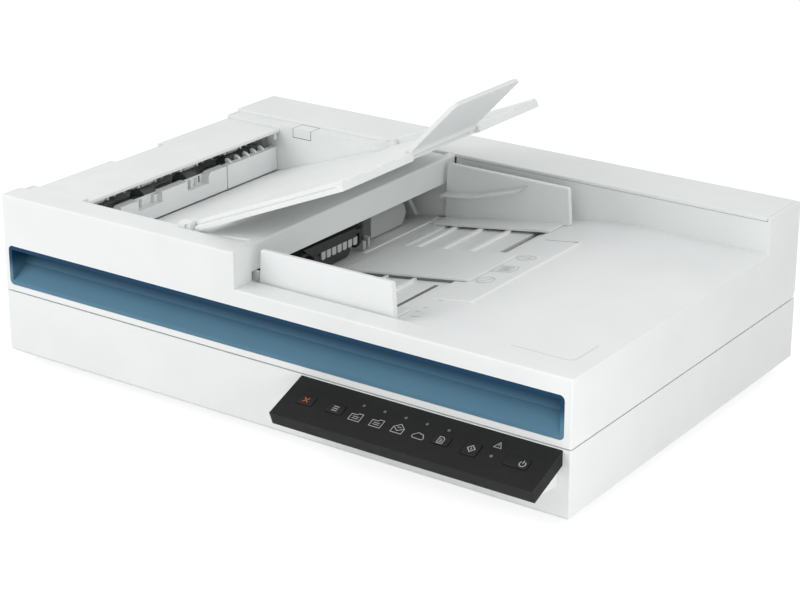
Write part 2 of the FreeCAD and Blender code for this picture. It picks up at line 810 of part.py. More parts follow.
def hinge_knuckles():
    leaves = []
    for x0 in hinge_places():
        block = box(x0, x0 + hinge_wide, hinge_y - 17, hinge_y - 11.5, lid_floor, lid_floor + 6)
        arms = [block]
        for a in (x0, x0 + hinge_wide - hinge_ear + fit):
            b = a + hinge_ear - fit
            arms.append(box(a, b, hinge_y - 12, hinge_y, hinge_z - 0.4, hinge_z + hinge_r))
            arms.append(rod_x_axis(hinge_y, hinge_z, hinge_r, a, b))
        leaf = joined(arms)
        bore = rod_x_axis(hinge_y, hinge_z, hinge_pin_r + running, x0 - 1, x0 + hinge_wide + 1)
        leaves.append(leaf.cut(bore))
    return Part.makeCompound(leaves)


# ---------------------------------------------------------------- sheet deck
def deck_outline(x0, x1, drop, thick):
    """Outline in XZ of a sheet that follows the deck: level, a gentle bend, then a straight ramp."""
    half = math.radians(ramp_angle) / 2
    reach = ramp_bend_r * math.tan(half)
    steps = 6
    top = [(x1, deck_top - drop)]
    if x1 > ramp_kink_x + reach:
        for i in range(steps + 1):
            turn = 2 * half * i / steps
            x = ramp_kink_x + reach - ramp_bend_r * math.sin(turn)
            z = deck_top - ramp_bend_r * (1 - math.cos(turn))
            top.append((x, z - drop))
    else:
        top = [(x1, ramp_z(x1) - drop)]
    top.append((x0, ramp_z(x0) - drop))
    under = [(x, z - thick) for x, z in reversed(top)]
    return top + under


def input_deck():
    x1 = housing_w - wall
    back = rear_rail_y
    ramp = prism_along_y(deck_outline(rail_len, x1, 0, deck_thick), strip_edge_y, back)
    level = box(rail_len, x1, wall, strip_edge_y, deck_top - deck_thick, deck_top)
    side = prism_along_y([(rail_len, ramp_z(rail_len) - deck_thick), (x1, deck_top - deck_thick - 2),
                          (x1, deck_top), (rail_len, deck_top)], strip_edge_y - deck_side, strip_edge_y)
    deck = joined([ramp, level, side])
    cuts = []
    for y0, y1 in ((strip_edge_y + 1.5, centre_y0), (centre_y1, back - 4)):
        pocket = prism_along_y(deck_outline(pocket_x0, pocket_x1, -1, pocket_deep + 1), y0, y1)
        ribs = [box(x - rib_wide / 2, x + rib_wide / 2, y0 - 1, y1 + 1, 60, 120) for x in rib_x]
        cuts.append(without(pocket, ribs))
    for x, y0, y1 in neck_slots():
        cuts.append(box(x - slot_wide / 2, x + slot_wide / 2, y0, y1, 60, 110))
    pin = rod_z_axis(pinion_x, path_mid_y, 3.0, rack_low - 1, ramp_z(pinion_x) - deck_thick + 1)
    return without(deck, cuts).fuse(pin)


def neck_slots():
    """Slots in the deck that the guides' necks run in: (x, first y, last y)."""
    front_x = slot_x - 2 * pinion_r - rack_back / 2
    low = guide_front_y + 1 - guide_out_travel
    high = guide_front_y + 7.5 + guide_in_travel
    mirror = 2 * path_mid_y
    return [(front_x, low, high), (slot_x + rack_back / 2, mirror - high, mirror - low)]


def centre_panel():
    outline = deck_outline(centre_x0, centre_x1, -centre_thick, centre_thick)
    return prism_along_y(outline, centre_y0, centre_y1)


def width_guide(side, x0, x1):
    """A width guide from x0 to x1: side -1 is the front one, +1 the rear one."""
    inner = path_mid_y + side * guides_apart / 2

    def span(a, b):
        ends = sorted((inner + side * a, inner + side * b))
        return ends[0], ends[1]

    lean = 2.0
    outline = [(x0, ramp_z(x0) + fit), (x1, ramp_z(x1) + fit), (x1 - lean, guide_top), (x0 + lean, guide_top)]
    y0, y1 = span(0, guide_thick)
    blade = prism_along_y(outline, y0, y1)
    parts = [blade.makeChamfer(guide_bevel, level_edges(blade, guide_top))]
    y0, y1 = span(-flange_wide, 0)
    flange = deck_outline(x0 + flange_in, x1 - 2 * flange_in, -fit - flange_thick, flange_thick)
    parts.append(prism_along_y(flange, y0, y1))
    top = [(x0 + 0.4, 97.4), (x0 + 30, 101.8), (x0 + 64.5, 112.6), (x0 + 70, 115.2)]
    under = [(x0 + 65.3, 112.6 - fin_thick), (x0 + 30.4, 101.8 - fin_thick), (x0 + 0.4, 97.4 - fin_thick)]
    y0, y1 = span(-fin_wide, 1)
    parts.append(prism_along_y(top + under, y0, y1))
    return parts, span


def guide_front():
    x0 = bar_x1 + guide_front_past_bar
    parts, span = width_guide(-1, x0, x0 + guide_front_len)
    neck_x = neck_slots()[0][0]
    half = rack_back / 2 - fit
    y0, y1 = span(-7, -1.5)
    parts.append(box(neck_x - half, neck_x + half, y0, y1, rack_low, ramp_z(neck_x) + 1))
    parts.append(rack_bar(slot_x - 2 * pinion_r, -1, y0, path_mid_y + 20))
    return joined(parts)


def guide_rear():
    x0 = bar_x1 + guide_rear_past_bar
    parts, span = width_guide(1, x0, x0 + guide_rear_len)
    neck_x = neck_slots()[1][0]
    half = rack_back / 2 - fit
    y0, y1 = span(-7, -1.5)
    parts.append(box(neck_x - half, neck_x + half, y0, y1, rack_low, ramp_z(neck_x) + 1))
    parts.append(rack_bar(slot_x, 1, path_mid_y - 20, y1))
    return joined(parts)


def rack_bar(pitch_x, side, y0, y1):
    """A straight rack whose back lies away from the pinion; a gap is centred at the path's middle."""
    pitch = math.pi * gear_module
    root = pitch_x + side * 1.25 * gear_module
    back = pitch_x + side * rack_back
    tip = pitch_x - side * 0.85 * gear_module
    bar = box(min(root, back), max(root, back), y0, y1, rack_low, rack_low + rack_tall)
    first = math.ceil((y0 - path_mid_y) / pitch + 0.5)
    last = math.floor((y1 - path_mid_y) / pitch - 0.5)
    solids = [bar]
    for i in range(first, last):
        y = path_mid_y + (i + 0.5) * pitch
        tooth = [Vector(root, y - 0.3 * pitch, rack_low), Vector(tip, y - 0.13 * pitch, rack_low),
                 Vector(tip, y + 0.13 * pitch, rack_low), Vector(root, y + 0.3 * pitch, rack_low)]
        face = Part.Face(Part.makePolygon(tooth + tooth[:1]))
        solids.append(face.extrude(Vector(0, 0, rack_tall)))
    return joined(solids)


def rack_pinion():
    points = gear_outline(rack_teeth, 0.0)
    corners = [Vector(pinion_x + a, path_mid_y + b, rack_low) for a, b in points]
    face = Part.Face(Part.makePolygon(corners + corners[:1]))
    gear = face.extrude(Vector(0, 0, rack_tall))
    return gear.cut(rod_z_axis(pinion_x, path_mid_y, 3.0 + running, 0, lid_top))


# ---------------------------------------------------------------- feeder chassis
def shaft_places():
    """Axes of the shafts that both side frames carry."""
    return [(transport_x, transport_z), (exit_x, exit_z), (feed_x, feed_z)]


def side_frame_front():
    parts = [
        box(frame_x0, frame_x1, pit_y0 - wall, pit_y0, lid_floor, ledge_top - wall),
        box(frame_x0, frame_x1, rail_deep + 0.2, pit_y0, ledge_top - wall, ledge_top),
        box(frame_x0, cover_wide, pit_y0 - 1, cover_y0 - 0.2, ledge_top - wall, ledge_top),
        wall_under_bar(bar_x1 + frame_past_bar, pit_y0 - wall),
        box(frame_x1 - 1, rail_len - fit, rail_deep + 0.2, pit_y0 - wall / 2, deck_top - frame_shelf, deck_top),
        pivot_block(pit_y0 - 5.5, pit_y0),
    ]
    frame = joined(parts)
    cuts = [rod_y_axis(x, z, shaft_r + running, pit_y0 - 4, pit_y0 + 1) for x, z in shaft_places()]
    cuts.append(rod_y_axis(tray_pivot_x, tray_pivot_z, axle_r + running, pit_y0 - 8, pit_y0 + 1))
    cuts.append(rod_y_axis(cover_pin_x, cover_pin_z, cover_pin_r + running, pit_y0 - 4, pit_y0 + 1))
    return without(frame, cuts)


def wall_under_bar(x1, y0):
    """Low part of a side wall that goes on under the bar to x1, clear of the sloping deck."""
    return prism_along_y([(frame_x1 - 1, ramp_z(frame_x1) + fit), (x1, ramp_z(x1) + fit),
                          (x1, bar_low - fit), (frame_x1 - 1, bar_low - fit)], y0, y0 + wall)


def pivot_block(y0, y1):
    """Small raised block that carries one end of the tray's pivot."""
    outline = [(tray_pivot_x - 9, ledge_top - 1), (tray_pivot_x - 6, tray_pivot_z + 3),
               (tray_pivot_x + 2.5, tray_pivot_z + 3), (tray_pivot_x + 3.6, ledge_top - 1)]
    return prism_along_y(outline, y0, y1)


def side_frame_rear():
    flange_back = rear_rail_y - 0.4
    parts = [
        box(frame_x0, frame_x1, pit_y1, pit_y1 + wall, lid_floor, ledge_top - wall),
        box(frame_x0, frame_x1, pit_y1, flange_back, ledge_top - wall, ledge_top),
        wall_under_bar(bar_x1 + fit, pit_y1),
        pivot_block(pit_y1, pit_y1 + 3.5),
        rod_y_axis(idler_gear_x, idler_gear_z, axle_r, pit_y1 + 1, gear_y0 + 4),
    ]
    for x, z in motor_post_places():
        parts.append(rod_y_axis(x, z, 2.5, pit_y1 + 1, motor_face_y))
    frame = joined(parts)
    cuts = [rod_y_axis(x, z, shaft_r + running, pit_y1 - 1, pit_y1 + 4) for x, z in shaft_places()]
    cuts.append(rod_y_axis(tray_pivot_x, tray_pivot_z, axle_r + running, pit_y1 - 1, pit_y1 + 6))
    cuts.append(rod_y_axis(cover_pin_x, cover_pin_z, cover_pin_r + running, pit_y1 - 1, pit_y1 + 4))
    cuts.append(box(frame_x0 + 9, stop_x - 1, pit_y1 - 1, pit_y1 + 4, stop_top - 0.6, stop_top + 8.5))
    cuts.append(tab_recess(0))
    return without(frame, cuts)


def tab_recess(gap):
    x0 = tab_x0 + gap
    x1 = tab_x0 + tab_wide - gap
    front = box(x0, x1, pit_y1, pit_y1 + tab_thick, ledge_top - tab_tall + gap, ledge_top)
    top = box(x0, x1, pit_y1, rear_rail_y - 0.6 - gap, ledge_top - tab_thick, ledge_top)
    return joined([front, top])


def ledge_tab():
    return tab_recess(0.2)


def output_floor():
    """Fixed slope that sheets land on, the crest at the tray's pivot, and the bar over the input mouth."""
    bend = bar_bend
    outer = [(stop_x + stop_thick + 0.2, floor_low_z), (crest_x - 12, crest_z - 3.5), (crest_x - 2, crest_z - 1.5),
             (bar_x1 - 8, bar_top - 0.4), (bar_x1 - bend * 0.6, bar_top - 0.4), (bar_x1, bar_top - bend)]
    inner = [(bar_x1 - floor_skin, bar_top - bend), (bar_x1 - floor_skin - bend * 0.6, bar_top - 0.4 - floor_skin),
             (bar_x1 - 10, bar_top - 0.4 - floor_skin), (crest_x - 2, crest_z - 1.5 - floor_skin),
             (crest_x - 12, crest_z - 3.5 - floor_skin),
             (stop_x + stop_thick + 0.2, floor_low_z - floor_skin)]
    low = [(bar_x1, bar_low), (bar_x1 - floor_skin, bar_low)]
    sheet = prism_along_y(outer + low + inner, exit_y0, exit_y1)
    bar_edge = frame_x1 + 0.3
    ends = prism_along_y(outer[3:] + low + inner[:3], rail_deep + 0.2, rear_rail_y - 0.3)
    ends = ends.common(box(bar_edge, bar_x1 + 1, 0, housing_d, 0, lid_top + 2))
    return joined([sheet, ends])


def stop_wall():
    x0 = stop_x
    x1 = stop_x + stop_thick
    foot = floor_low_z - floor_skin - 2
    wall_parts = [box(x0, x1, exit_y0, exit_y1, foot, stop_top)]
    reach = 5.5
    low = floor_low_z + 3.5
    for y0, y1 in stop_blocks():
        block = prism_along_y([(x1 - 0.5, low), (x1 + reach, low), (x1 + reach, stop_top - 3.5),
                               (x1 + reach - 3.5, stop_top), (x1 - 0.5, stop_top)], y0, y1)
        wall_parts.append(block)
    shelf = prism_along_y([(x1 - 0.5, low), (x1 + reach, low), (x1 + reach, low + 6), (x1 - 0.5, low + 10)],
                          stop_blocks()[0][0], stop_blocks()[2][1])
    wall_parts.append(shelf)
    return joined(wall_parts + exit_fins())


def stop_blocks():
    """Raised blocks on the stop wall: (first y, last y)."""
    return [(64.0, 86.5), (112.0, 139.0), (158.0, 183.5)]


def exit_fins():
    """Curved ribs that lift the sheet over the wall's top edge."""
    fins = []
    for y in (44.0, 54.0, 194.0, 204.0, 214.0, 224.0, 234.0):
        disc = rod_y_axis(stop_x + 1.0, stop_top - 6.5, 8.0, y, y + 1.6)
        quarter = box(stop_x, stop_x + 9, y - 1, y + 3, stop_top - 4, stop_top + 9)
        fins.append(disc.common(quarter))
    return fins


def lower_chute():
    """Bent plate that leads sheets down from the deck to the scanning strip."""
    thick = 2.0
    top = [(rail_len - 0.3, ramp_z(rail_len)), (feed_x - 10, ramp_z(feed_x - 10)), (100, 64.0),
           (strip_x1 + 12, lid_floor + thick + 0.2)]
    under = [(x, z - thick) for x, z in reversed(top)]
    plate_solid = prism_along_y(top + under, exit_y0, exit_y1)
    bosses = []
    for y0 in (flag_y - 10, flag_y + 6):
        bosses.append(box(flag_x - 3, flag_x + 3, y0, y0 + 4, flag_z - 3, flag_z + 3.6))
    for y0 in (arm_mid_y - 27, arm_mid_y + 23):
        bosses.append(box(feed_x - 5, feed_x + 5, y0, y0 + 4, lid_floor, ramp_z(feed_x) - 1.5))
    solid = joined([plate_solid] + bosses)
    cuts = [
        rod_y_axis(flag_x, flag_z, flag_r + running, flag_y - 12, flag_y + 12),
        box(flag_x - 9, flag_x + 4, flag_y - 3, flag_y + 3, 50, 80),
        rod_y_axis(feed_x, separation_z, axle_r + running, arm_mid_y - 30, arm_mid_y + 30),
        box(feed_x - separation_r - 1, feed_x + separation_r + 1, arm_mid_y - 22, arm_mid_y + 22, 50, 90),
    ]
    return without(solid, cuts)


def sheet_flag():
    rod = rod_y_axis(flag_x, flag_z, flag_r, flag_y - 10, flag_y + 10)
    arm = box(flag_x - 1, flag_x + 1, flag_y - 1.5, flag_y + 1.5, flag_z, flag_z + 13)
    return joined([rod, arm])


def turn_guide():
    """Fixed lower half of the curved outer guide."""
    outer = rod_y_axis(turn_x, turn_z, turn_r + turn_skin, exit_y0, exit_y1)
    inner = rod_y_axis(turn_x, turn_z, turn_r, exit_y0 - 1, exit_y1 + 1)
    angle = math.radians(152)
    top_z = turn_z + turn_r * math.sin(angle)
    keep = box(0, turn_x - turn_r * 0.56, 0, housing_d, lid_floor, top_z)
    return outer.cut(inner).common(keep)


# ---------------------------------------------------------------- rollers and gear train
def idler_place():
    """Centre of the idler gear between the transport gear and the exit gear."""
    d0 = gear_module * (transport_teeth + idler_teeth) / 2 + mesh_play
    d1 = gear_module * (exit_teeth + idler_teeth) / 2 + mesh_play
    dx = exit_x - transport_x
    dz = exit_z - transport_z
    span = math.hypot(dx, dz)
    along = (d0 * d0 - d1 * d1 + span * span) / (2 * span)
    aside = math.sqrt(d0 * d0 - along * along)
    return (transport_x + (dx * along + dz * aside) / span,
            transport_z + (dz * along - dx * aside) / span)


idler_gear_x, idler_gear_z = idler_place()
motor_x = idler_gear_x + gear_module * (idler_teeth + motor_teeth) / 2 + mesh_play
motor_z = idler_gear_z


def motor_post_places():
    return [(motor_x - 3, motor_z - 14.5), (motor_x - 3, motor_z + 14.5)]


def gear_phases():
    """Phases of the transport, idler, exit and motor gears, so that they mesh at rest."""
    transport = 0.0
    to_idler = math.atan2(idler_gear_z - transport_z, idler_gear_x - transport_x)
    idler = meshing_phase(transport, transport_teeth, to_idler, idler_teeth)
    to_exit = math.atan2(exit_z - idler_gear_z, exit_x - idler_gear_x)
    exit_phase = meshing_phase(idler, idler_teeth, to_exit, exit_teeth)
    motor = meshing_phase(idler, idler_teeth, 0.0, motor_teeth)
    return transport, idler, exit_phase, motor


def tyred_roller(x, z, r, tyres, y0, y1):
    shaft = rod_y_axis(x, z, shaft_r, y0, y1)
    return joined([shaft] + [rod_y_axis(x, z, r, a, b) for a, b in tyres])


def transport_roller():
    roller = tyred_roller(transport_x, transport_z, transport_r,
                          [(60, 90), (path_mid_y - 15, path_mid_y + 15), (172, 202)],
                          pit_y0 - 3, gear_y1)
    return joined([roller, gear_along_y(transport_teeth, gear_phases()[0], transport_x, transport_z,
                                        gear_y0, gear_y1)])


def exit_roller():
    roller = tyred_roller(exit_x, exit_z, exit_r, idler_tyres(), pit_y0 - 3, gear_y1)
    return joined([roller, gear_along_y(exit_teeth, gear_phases()[2], exit_x, exit_z, gear_y0, gear_y1)])


def idler_tyres():
    """Places along Y of the exit rollers and of the small idlers over them."""
    return [(y - 6, y + 6) for y in (58, 108, 154, 204)]


def idler_gear():
    gear = gear_along_y(idler_teeth, gear_phases()[1], idler_gear_x, idler_gear_z, gear_y0, gear_y0 + 3.8)
    return gear.cut(rod_y_axis(idler_gear_x, idler_gear_z, axle_r + running, 0, housing_d))


def motor_pinion():
    gear = gear_along_y(motor_teeth, gear_phases()[3], motor_x, motor_z, gear_y0, gear_y0 + 3.8)
    pulley = rod_y_axis(motor_x, motor_z, motor_pulley_r, gear_y0 + 3.8, gear_y1 + 3)
    shaft = rod_y_axis(motor_x, motor_z, rotor_shaft_r, gear_y0, motor_face_y + 12)
    return joined([gear, pulley, shaft])


def feeder_motor():
    half = feeder_can_r + 4
    flange = box(motor_x - 8, motor_x + half, motor_face_y, motor_face_y + 1.5, motor_z - half, motor_z + half)
    can = rod_y_axis(motor_x, motor_z, feeder_can_r, motor_face_y + 1.5, housing_d - wall - 6)
    bore = rod_y_axis(motor_x, motor_z, rotor_shaft_r + running, motor_face_y - 1, motor_face_y + 13)
    return joined([flange, can]).cut(bore)


def feeder_belt():
    loops = []
    for grow in (fit + belt_sheet, fit):
        loops.append(two_circle_hull((motor_x, motor_z), motor_pulley_r + grow,
                                     (feed_x, feed_z), feed_pulley_r + grow,
                                     gear_y1 - 0.4, gear_y1 + 2.6))
    return loops[0].cut(loops[1])


def feed_roller():
    roller = tyred_roller(feed_x, feed_z, feed_r, [(arm_mid_y - 18, arm_mid_y + 18)], pit_y0 - 3, gear_y1 + 3)
    return joined([roller, rod_y_axis(feed_x, feed_z, feed_pulley_r, gear_y1 - 0.8, gear_y1 + 3)])


def separation_roller():
    tyre = rod_y_axis(feed_x, separation_z, separation_r, arm_mid_y - 18, arm_mid_y + 18)
    return joined([tyre, rod_y_axis(feed_x, separation_z, axle_r, arm_mid_y - 26.5, arm_mid_y + 26.5)])


def pick_arm():
    x0, x1 = feed_x - 9, pick_x + 10
    top_z = max(feed_z + feed_r, pick_z + pick_r) + 3.2
    roof = prism_along_y([(x0, top_z - 4), (x0 + 4, top_z), (x1 - 5, top_z), (x1, top_z - 3),
                          (x1, top_z - 5.4), (x1 - 5, top_z - 2.6), (x0 + 4, top_z - 2.6), (x0 + 2.6, top_z - 4)],
                         arm_y0, arm_y1)
    cheeks = []
    for y0 in (arm_y0, arm_y1 - arm_cheek):
        cheek = [(x0, feed_z - 5), (feed_x + 6, feed_z - 6), (x1 - 3, pick_z - 4), (x1, pick_z),
                 (x1, top_z - 3), (x1 - 5, top_z), (x0 + 4, top_z), (x0, top_z - 4)]
        cheeks.append(prism_along_y(cheek, y0, y0 + arm_cheek))
    arm = joined([roof] + cheeks)
    cuts = [rod_y_axis(feed_x, feed_z, shaft_r + running, arm_y0 - 1, arm_y1 + 1),
            rod_y_axis(pick_x, pick_z, shaft_r + running, arm_y0 - 1, arm_y1 + 1)]
    return without(arm, cuts)


def pick_roller():
    return tyred_roller(pick_x, pick_z, pick_r, [(arm_mid_y - 20, arm_mid_y + 20)], arm_y0 + 0.2, arm_y1 - 0.2)


# ---------------------------------------------------------------- cover over the exit
def feeder_cover():
    low = cover_top - cover_thick
    lid_plate = box(0.0, cover_wide, cover_y0 + 0.2, pit_y1 - 0.2, low, cover_top)
    lid_plate = lid_plate.makeFillet(0.8, level_edges(lid_plate, cover_top))
    lid_plate = lid_plate.cut(box(-1, notch_deep, notch_y0, notch_y1, low - 1, cover_top + 1))
    reach = rod_y_axis(cover_pin_x, cover_pin_z, cover_reach, 0, housing_d)
    turn = rod_y_axis(turn_x, turn_z, turn_r + 0.5, 0, housing_d)
    floor_angle = turn_z + turn_r * math.sin(math.radians(150)) + 1.5
    rib_end = turn_x - cover_rib_short
    parts = [lid_plate]
    for y in rib_places():
        rib = box(wall + 1, rib_end, y, y + 1.6, floor_angle, low + 0.1)
        parts.append(rib.common(reach).cut(turn))
    for y0, y1 in ((cover_y0 + 0.6, cover_y0 + 3.6), (pit_y1 - 4.2, pit_y1 - 1.2)):
        parts.append(box(cover_pin_x - cover_block, cover_pin_x + cover_block, y0, y1,
                         cover_pin_z - cover_pin_r - 0.5, low + 0.1))
    parts.append(rod_y_axis(cover_pin_x, cover_pin_z, cover_pin_r, pit_y0 - 1.5, cover_y0 + 1))
    parts.append(rod_y_axis(cover_pin_x, cover_pin_z, cover_pin_r, pit_y1 - 2, pit_y1 + 1.5))
    for a, b in idler_tyres():
        for y in (a - 4.0, b + 2.0):
            parts.append(box(exit_x - 4, exit_x + 4, y, y + 2, idler_z - 3, low + 0.1))
    cover = joined(parts)
    return cover.cut(rod_y_axis(exit_x, idler_z, idler_shaft_r + running, 0, housing_d))


def rib_places():
    """Ribs under the cover, clear of the idlers."""
    return [38, 46, 68, 78, 88, 98, 118, 128, 138, 146, 164, 174, 184, 194, 214, 224, 234]


def exit_idlers():
    wheels = []
    for a, b in idler_tyres():
        wheels.append(rod_y_axis(exit_x, idler_z, idler_r, a + 0.5, b - 0.5))
    shaft = rod_y_axis(exit_x, idler_z, idler_shaft_r, cover_y0 + 6, pit_y1 - 6)
    return joined([shaft] + wheels)


# ---------------------------------------------------------------- output tray and its flap
def rim_section(y_out, inward, low):
    """Section of a side rim: two rounded beads, the upper one set back, with a groove between."""
    beads = [(0.9, 0.0), (0.0, 0.9), (0.0, 2.3), (0.8, 3.0), (1.5, 3.0), (1.5, 3.5), (0.9, 3.9), (0.9, 5.3),
             (1.9, tray_rim), (tray_rim_wide - 0.8, tray_rim), (tray_rim_wide, tray_rim - 0.8), (tray_rim_wide, 0.0)]
    return [(y_out + inward * across, low + up) for across, up in beads]


def output_tray():
    low = -tray_under
    end = tray_start + tray_len
    floor_plate = box(tray_start, end, tray_y0, tray_y1, low, low + tray_floor)
    parts = [floor_plate]
    first = tray_start - 2
    taper = prism_along_y([(first - 1, low + 2.4), (first + 8, low + tray_rim + 0.2), (first - 1, low + tray_rim + 0.2)],
                          0, housing_d)
    for y_out, inward in ((tray_y0, 1), (tray_y1, -1)):
        rim = prism_along_x(rim_section(y_out, inward, low), first, end)
        parts.append(rim.cut(taper))
    lip = box(end - 5, end, tray_y0, tray_y1, low, low + 4.5)
    parts.append(lip)
    tray = joined(parts)
    seat = box(end - 8, end + 1, flap_y0 - 0.6, flap_y1 + 0.6, low - 1, low + tray_rim + 1)
    tray = tray.cut(seat)
    tray = on_tray(tray, tray_tilt, tray_pivot_x, tray_pivot_z)
    arms = []
    for y0, y1, p0, p1 in ((pit_y0 + 0.3, pit_y0 + 4.3, pit_y0 - 4.5, pit_y0 + 1),
                           (pit_y1 - 4.3, pit_y1 - 0.3, pit_y1 - 1, pit_y1 + 3)):
        arms.append(rod_y_axis(tray_pivot_x, tray_pivot_z, 3.4, y0, y1))
        arms.append(rod_y_axis(tray_pivot_x, tray_pivot_z, axle_r, p0, p1))
        arms.append(on_tray(box(2, tray_start + 4, y0, y1, low, 1.4), tray_tilt, tray_pivot_x, tray_pivot_z))
    pins = []
    end_x = end - flap_axis_in
    for y0, y1 in ((flap_y0 - 3, flap_y0 + 4), (flap_y1 - 4, flap_y1 + 3)):
        pins.append(on_tray(rod_y_axis(end_x, flap_axis_up, 1.5, y0, y1), tray_tilt, tray_pivot_x, tray_pivot_z))
    return joined([tray] + arms + pins)


def flap_axis():
    """The flap's hinge axis: (x, z)."""
    a = math.radians(tray_tilt)
    along = tray_start + tray_len - flap_axis_in
    return (tray_pivot_x + along * math.cos(a) - flap_axis_up * math.sin(a),
            tray_pivot_z + along * math.sin(a) + flap_axis_up * math.cos(a))


def tray_flap():
    leaf = box(2.0, flap_len, flap_y0, flap_y1, -flap_thick / 2, flap_thick / 2)
    corner = [e for e in leaf.Edges if e.BoundBox.ZLength > 1 and e.BoundBox.XMin > flap_len - 1]
    leaf = leaf.makeFillet(5.0, corner)
    barrel = rod_y_axis(0, 0, 2.9, flap_y0, flap_y1)
    root = box(0, 4, flap_y0, flap_y1, -1.4, 1.4)
    flap = joined([leaf, barrel, root]).cut(rod_y_axis(0, 0, 1.5 + running, flap_y0 - 1, flap_y1 + 1))
    x, z = flap_axis()
    return on_tray(flap, flap_tilt, x, z)


# ---------------------------------------------------------------- all pieces
def all_pieces():
    pieces = {
        "base_tub": base_tub(),
        "base_bezel": base_bezel(),
        "scan_glass": scan_glass(),
        "scan_carriage": scan_carriage(),
        "carriage_lens": carriage_lens(),
        "guide_rod": guide_rod(),
        "drive_belt": drive_belt(),
        "motor_pulley": belt_pulley(belt_end_right, motor_plate_z + 12),
        "idler_pulley": belt_pulley(belt_end_left, 0),
        "carriage_motor": carriage_motor(),
        "main_board": main_board(),
        "usb_socket": usb_socket(),
        "power_inlet": power_inlet(),
        "rubber_feet": rubber_feet(),
        "base_screws": base_screws(),
        "hinge_posts": hinge_posts(),
        "control_panel": control_panel(),
        "panel_base": panel_base(),
        "panel_board": panel_board(),
        "status_lights": status_lights(),
        "panel_wedge": panel_wedge(),
        "lid_shell": lid_shell(),
        "rear_cover_plate": rear_cover_plate(),
        "grip_recess": grip_recess(),
        "lid_base": lid_base(),
        "platen_pad": platen_pad(),
        "presser_plate": presser_plate(),
        "hinge_knuckles": hinge_knuckles(),
        "input_deck": input_deck(),
        "centre_panel": centre_panel(),
        "guide_front": guide_front(),
        "guide_rear": guide_rear(),
        "rack_pinion": rack_pinion(),
        "side_frame_front": side_frame_front(),
        "side_frame_rear": side_frame_rear(),
        "ledge_tab": ledge_tab(),
        "output_floor": output_floor(),
        "stop_wall": stop_wall(),
        "lower_chute": lower_chute(),
        "sheet_flag": sheet_flag(),
        "turn_guide": turn_guide(),
        "transport_roller": transport_roller(),
        "exit_roller": exit_roller(),
        "idler_gear": idler_gear(),
        "motor_pinion": motor_pinion(),
        "feeder_motor": feeder_motor(),
        "feeder_belt": feeder_belt(),
        "feed_roller": feed_roller(),
        "separation_roller": separation_roller(),
        "pick_arm": pick_arm(),
        "pick_roller": pick_roller(),
        "feeder_cover": feeder_cover(),
        "exit_idlers": exit_idlers(),
        "output_tray": output_tray(),
        "tray_flap": tray_flap(),
    }
    for name, x0, wide, v0, tall in button_places:
        pieces["button_" + name] = button_cap(x0, wide, v0, tall)
    return pieces


def save(name, shape):
    moved = shape.copy()
    moved.translate(Vector(-housing_w / 2, -middle_y, 0))
    moved.exportStep(os.path.join("parts", name + ".step"))
    size = moved.BoundBox
    print(name, len(shape.Solids), shape.isValid(), round(shape.Volume / 1000, 2),
          [round(v, 1) for v in (size.XMin, size.XMax, size.YMin, size.YMax, size.ZMin, size.ZMax)])


os.makedirs("parts", exist_ok=True)
PIECES = all_pieces()
for piece_name, piece_shape in PIECES.items():
    save(piece_name, piece_shape)
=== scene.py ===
# %% [markdown]
# # A sheet fed document scanner, dressed in Blender
#
# This lesson puts a finished look on a desktop scanner whose solid pieces come from a CAD model. The real
# object is a flat white box in two halves. The lower half holds a glass plate and a moving light bar. The
# upper half is a hinged lid that carries a sheet feeder: an input deck with two width guides, a set of
# rollers, and a raised output tray.
#
# Every CAD piece keeps its place. Here each one gets a material made of nodes, and the surfaces that people
# look at closely get extra pieces, such as printed symbols, ribs and moulded marks.

# %% Load the frame
import bmesh
import bpy
import json
import math
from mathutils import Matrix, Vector

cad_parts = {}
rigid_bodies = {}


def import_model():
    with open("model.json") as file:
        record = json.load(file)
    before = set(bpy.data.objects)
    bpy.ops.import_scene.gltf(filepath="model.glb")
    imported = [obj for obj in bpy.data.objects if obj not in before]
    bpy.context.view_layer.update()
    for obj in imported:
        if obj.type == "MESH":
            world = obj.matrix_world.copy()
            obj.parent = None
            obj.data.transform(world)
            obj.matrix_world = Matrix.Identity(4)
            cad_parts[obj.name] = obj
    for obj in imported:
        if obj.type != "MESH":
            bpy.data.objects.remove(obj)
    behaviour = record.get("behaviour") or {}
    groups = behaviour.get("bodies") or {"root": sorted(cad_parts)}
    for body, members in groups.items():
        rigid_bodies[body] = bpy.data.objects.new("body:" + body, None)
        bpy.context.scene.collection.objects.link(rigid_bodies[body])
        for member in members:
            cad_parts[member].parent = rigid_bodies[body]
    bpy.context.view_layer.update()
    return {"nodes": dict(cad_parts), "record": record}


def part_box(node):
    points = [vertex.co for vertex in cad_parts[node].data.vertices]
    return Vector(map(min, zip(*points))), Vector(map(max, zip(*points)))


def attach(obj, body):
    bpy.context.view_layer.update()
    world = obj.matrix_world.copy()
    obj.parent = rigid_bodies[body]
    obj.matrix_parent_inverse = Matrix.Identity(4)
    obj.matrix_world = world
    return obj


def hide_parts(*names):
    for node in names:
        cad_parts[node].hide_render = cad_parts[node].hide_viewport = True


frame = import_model()
NODES = frame["nodes"]

# %% [markdown]
# The scanner was drawn from the front left corner of its housing, in millimetres, with X to the right, Y to
# the back and Z up. The frame works in metres around the middle of the footprint. One helper turns the
# first kind of place into the second, so that every number below can be read off a ruler laid on the real
# object.

# %% Millimetres from the housing corner
MM = 0.001
corner_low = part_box("base_tub")[0]
CORNER = Vector((corner_low[0], corner_low[1], 0.0))


def at(x, y, z):
    """Place in the frame, in metres, of a point given in millimetres from the housing's corner."""
    return CORNER + Vector((x, y, z)) * MM


print("housing corner", [round(v, 4) for v in CORNER])

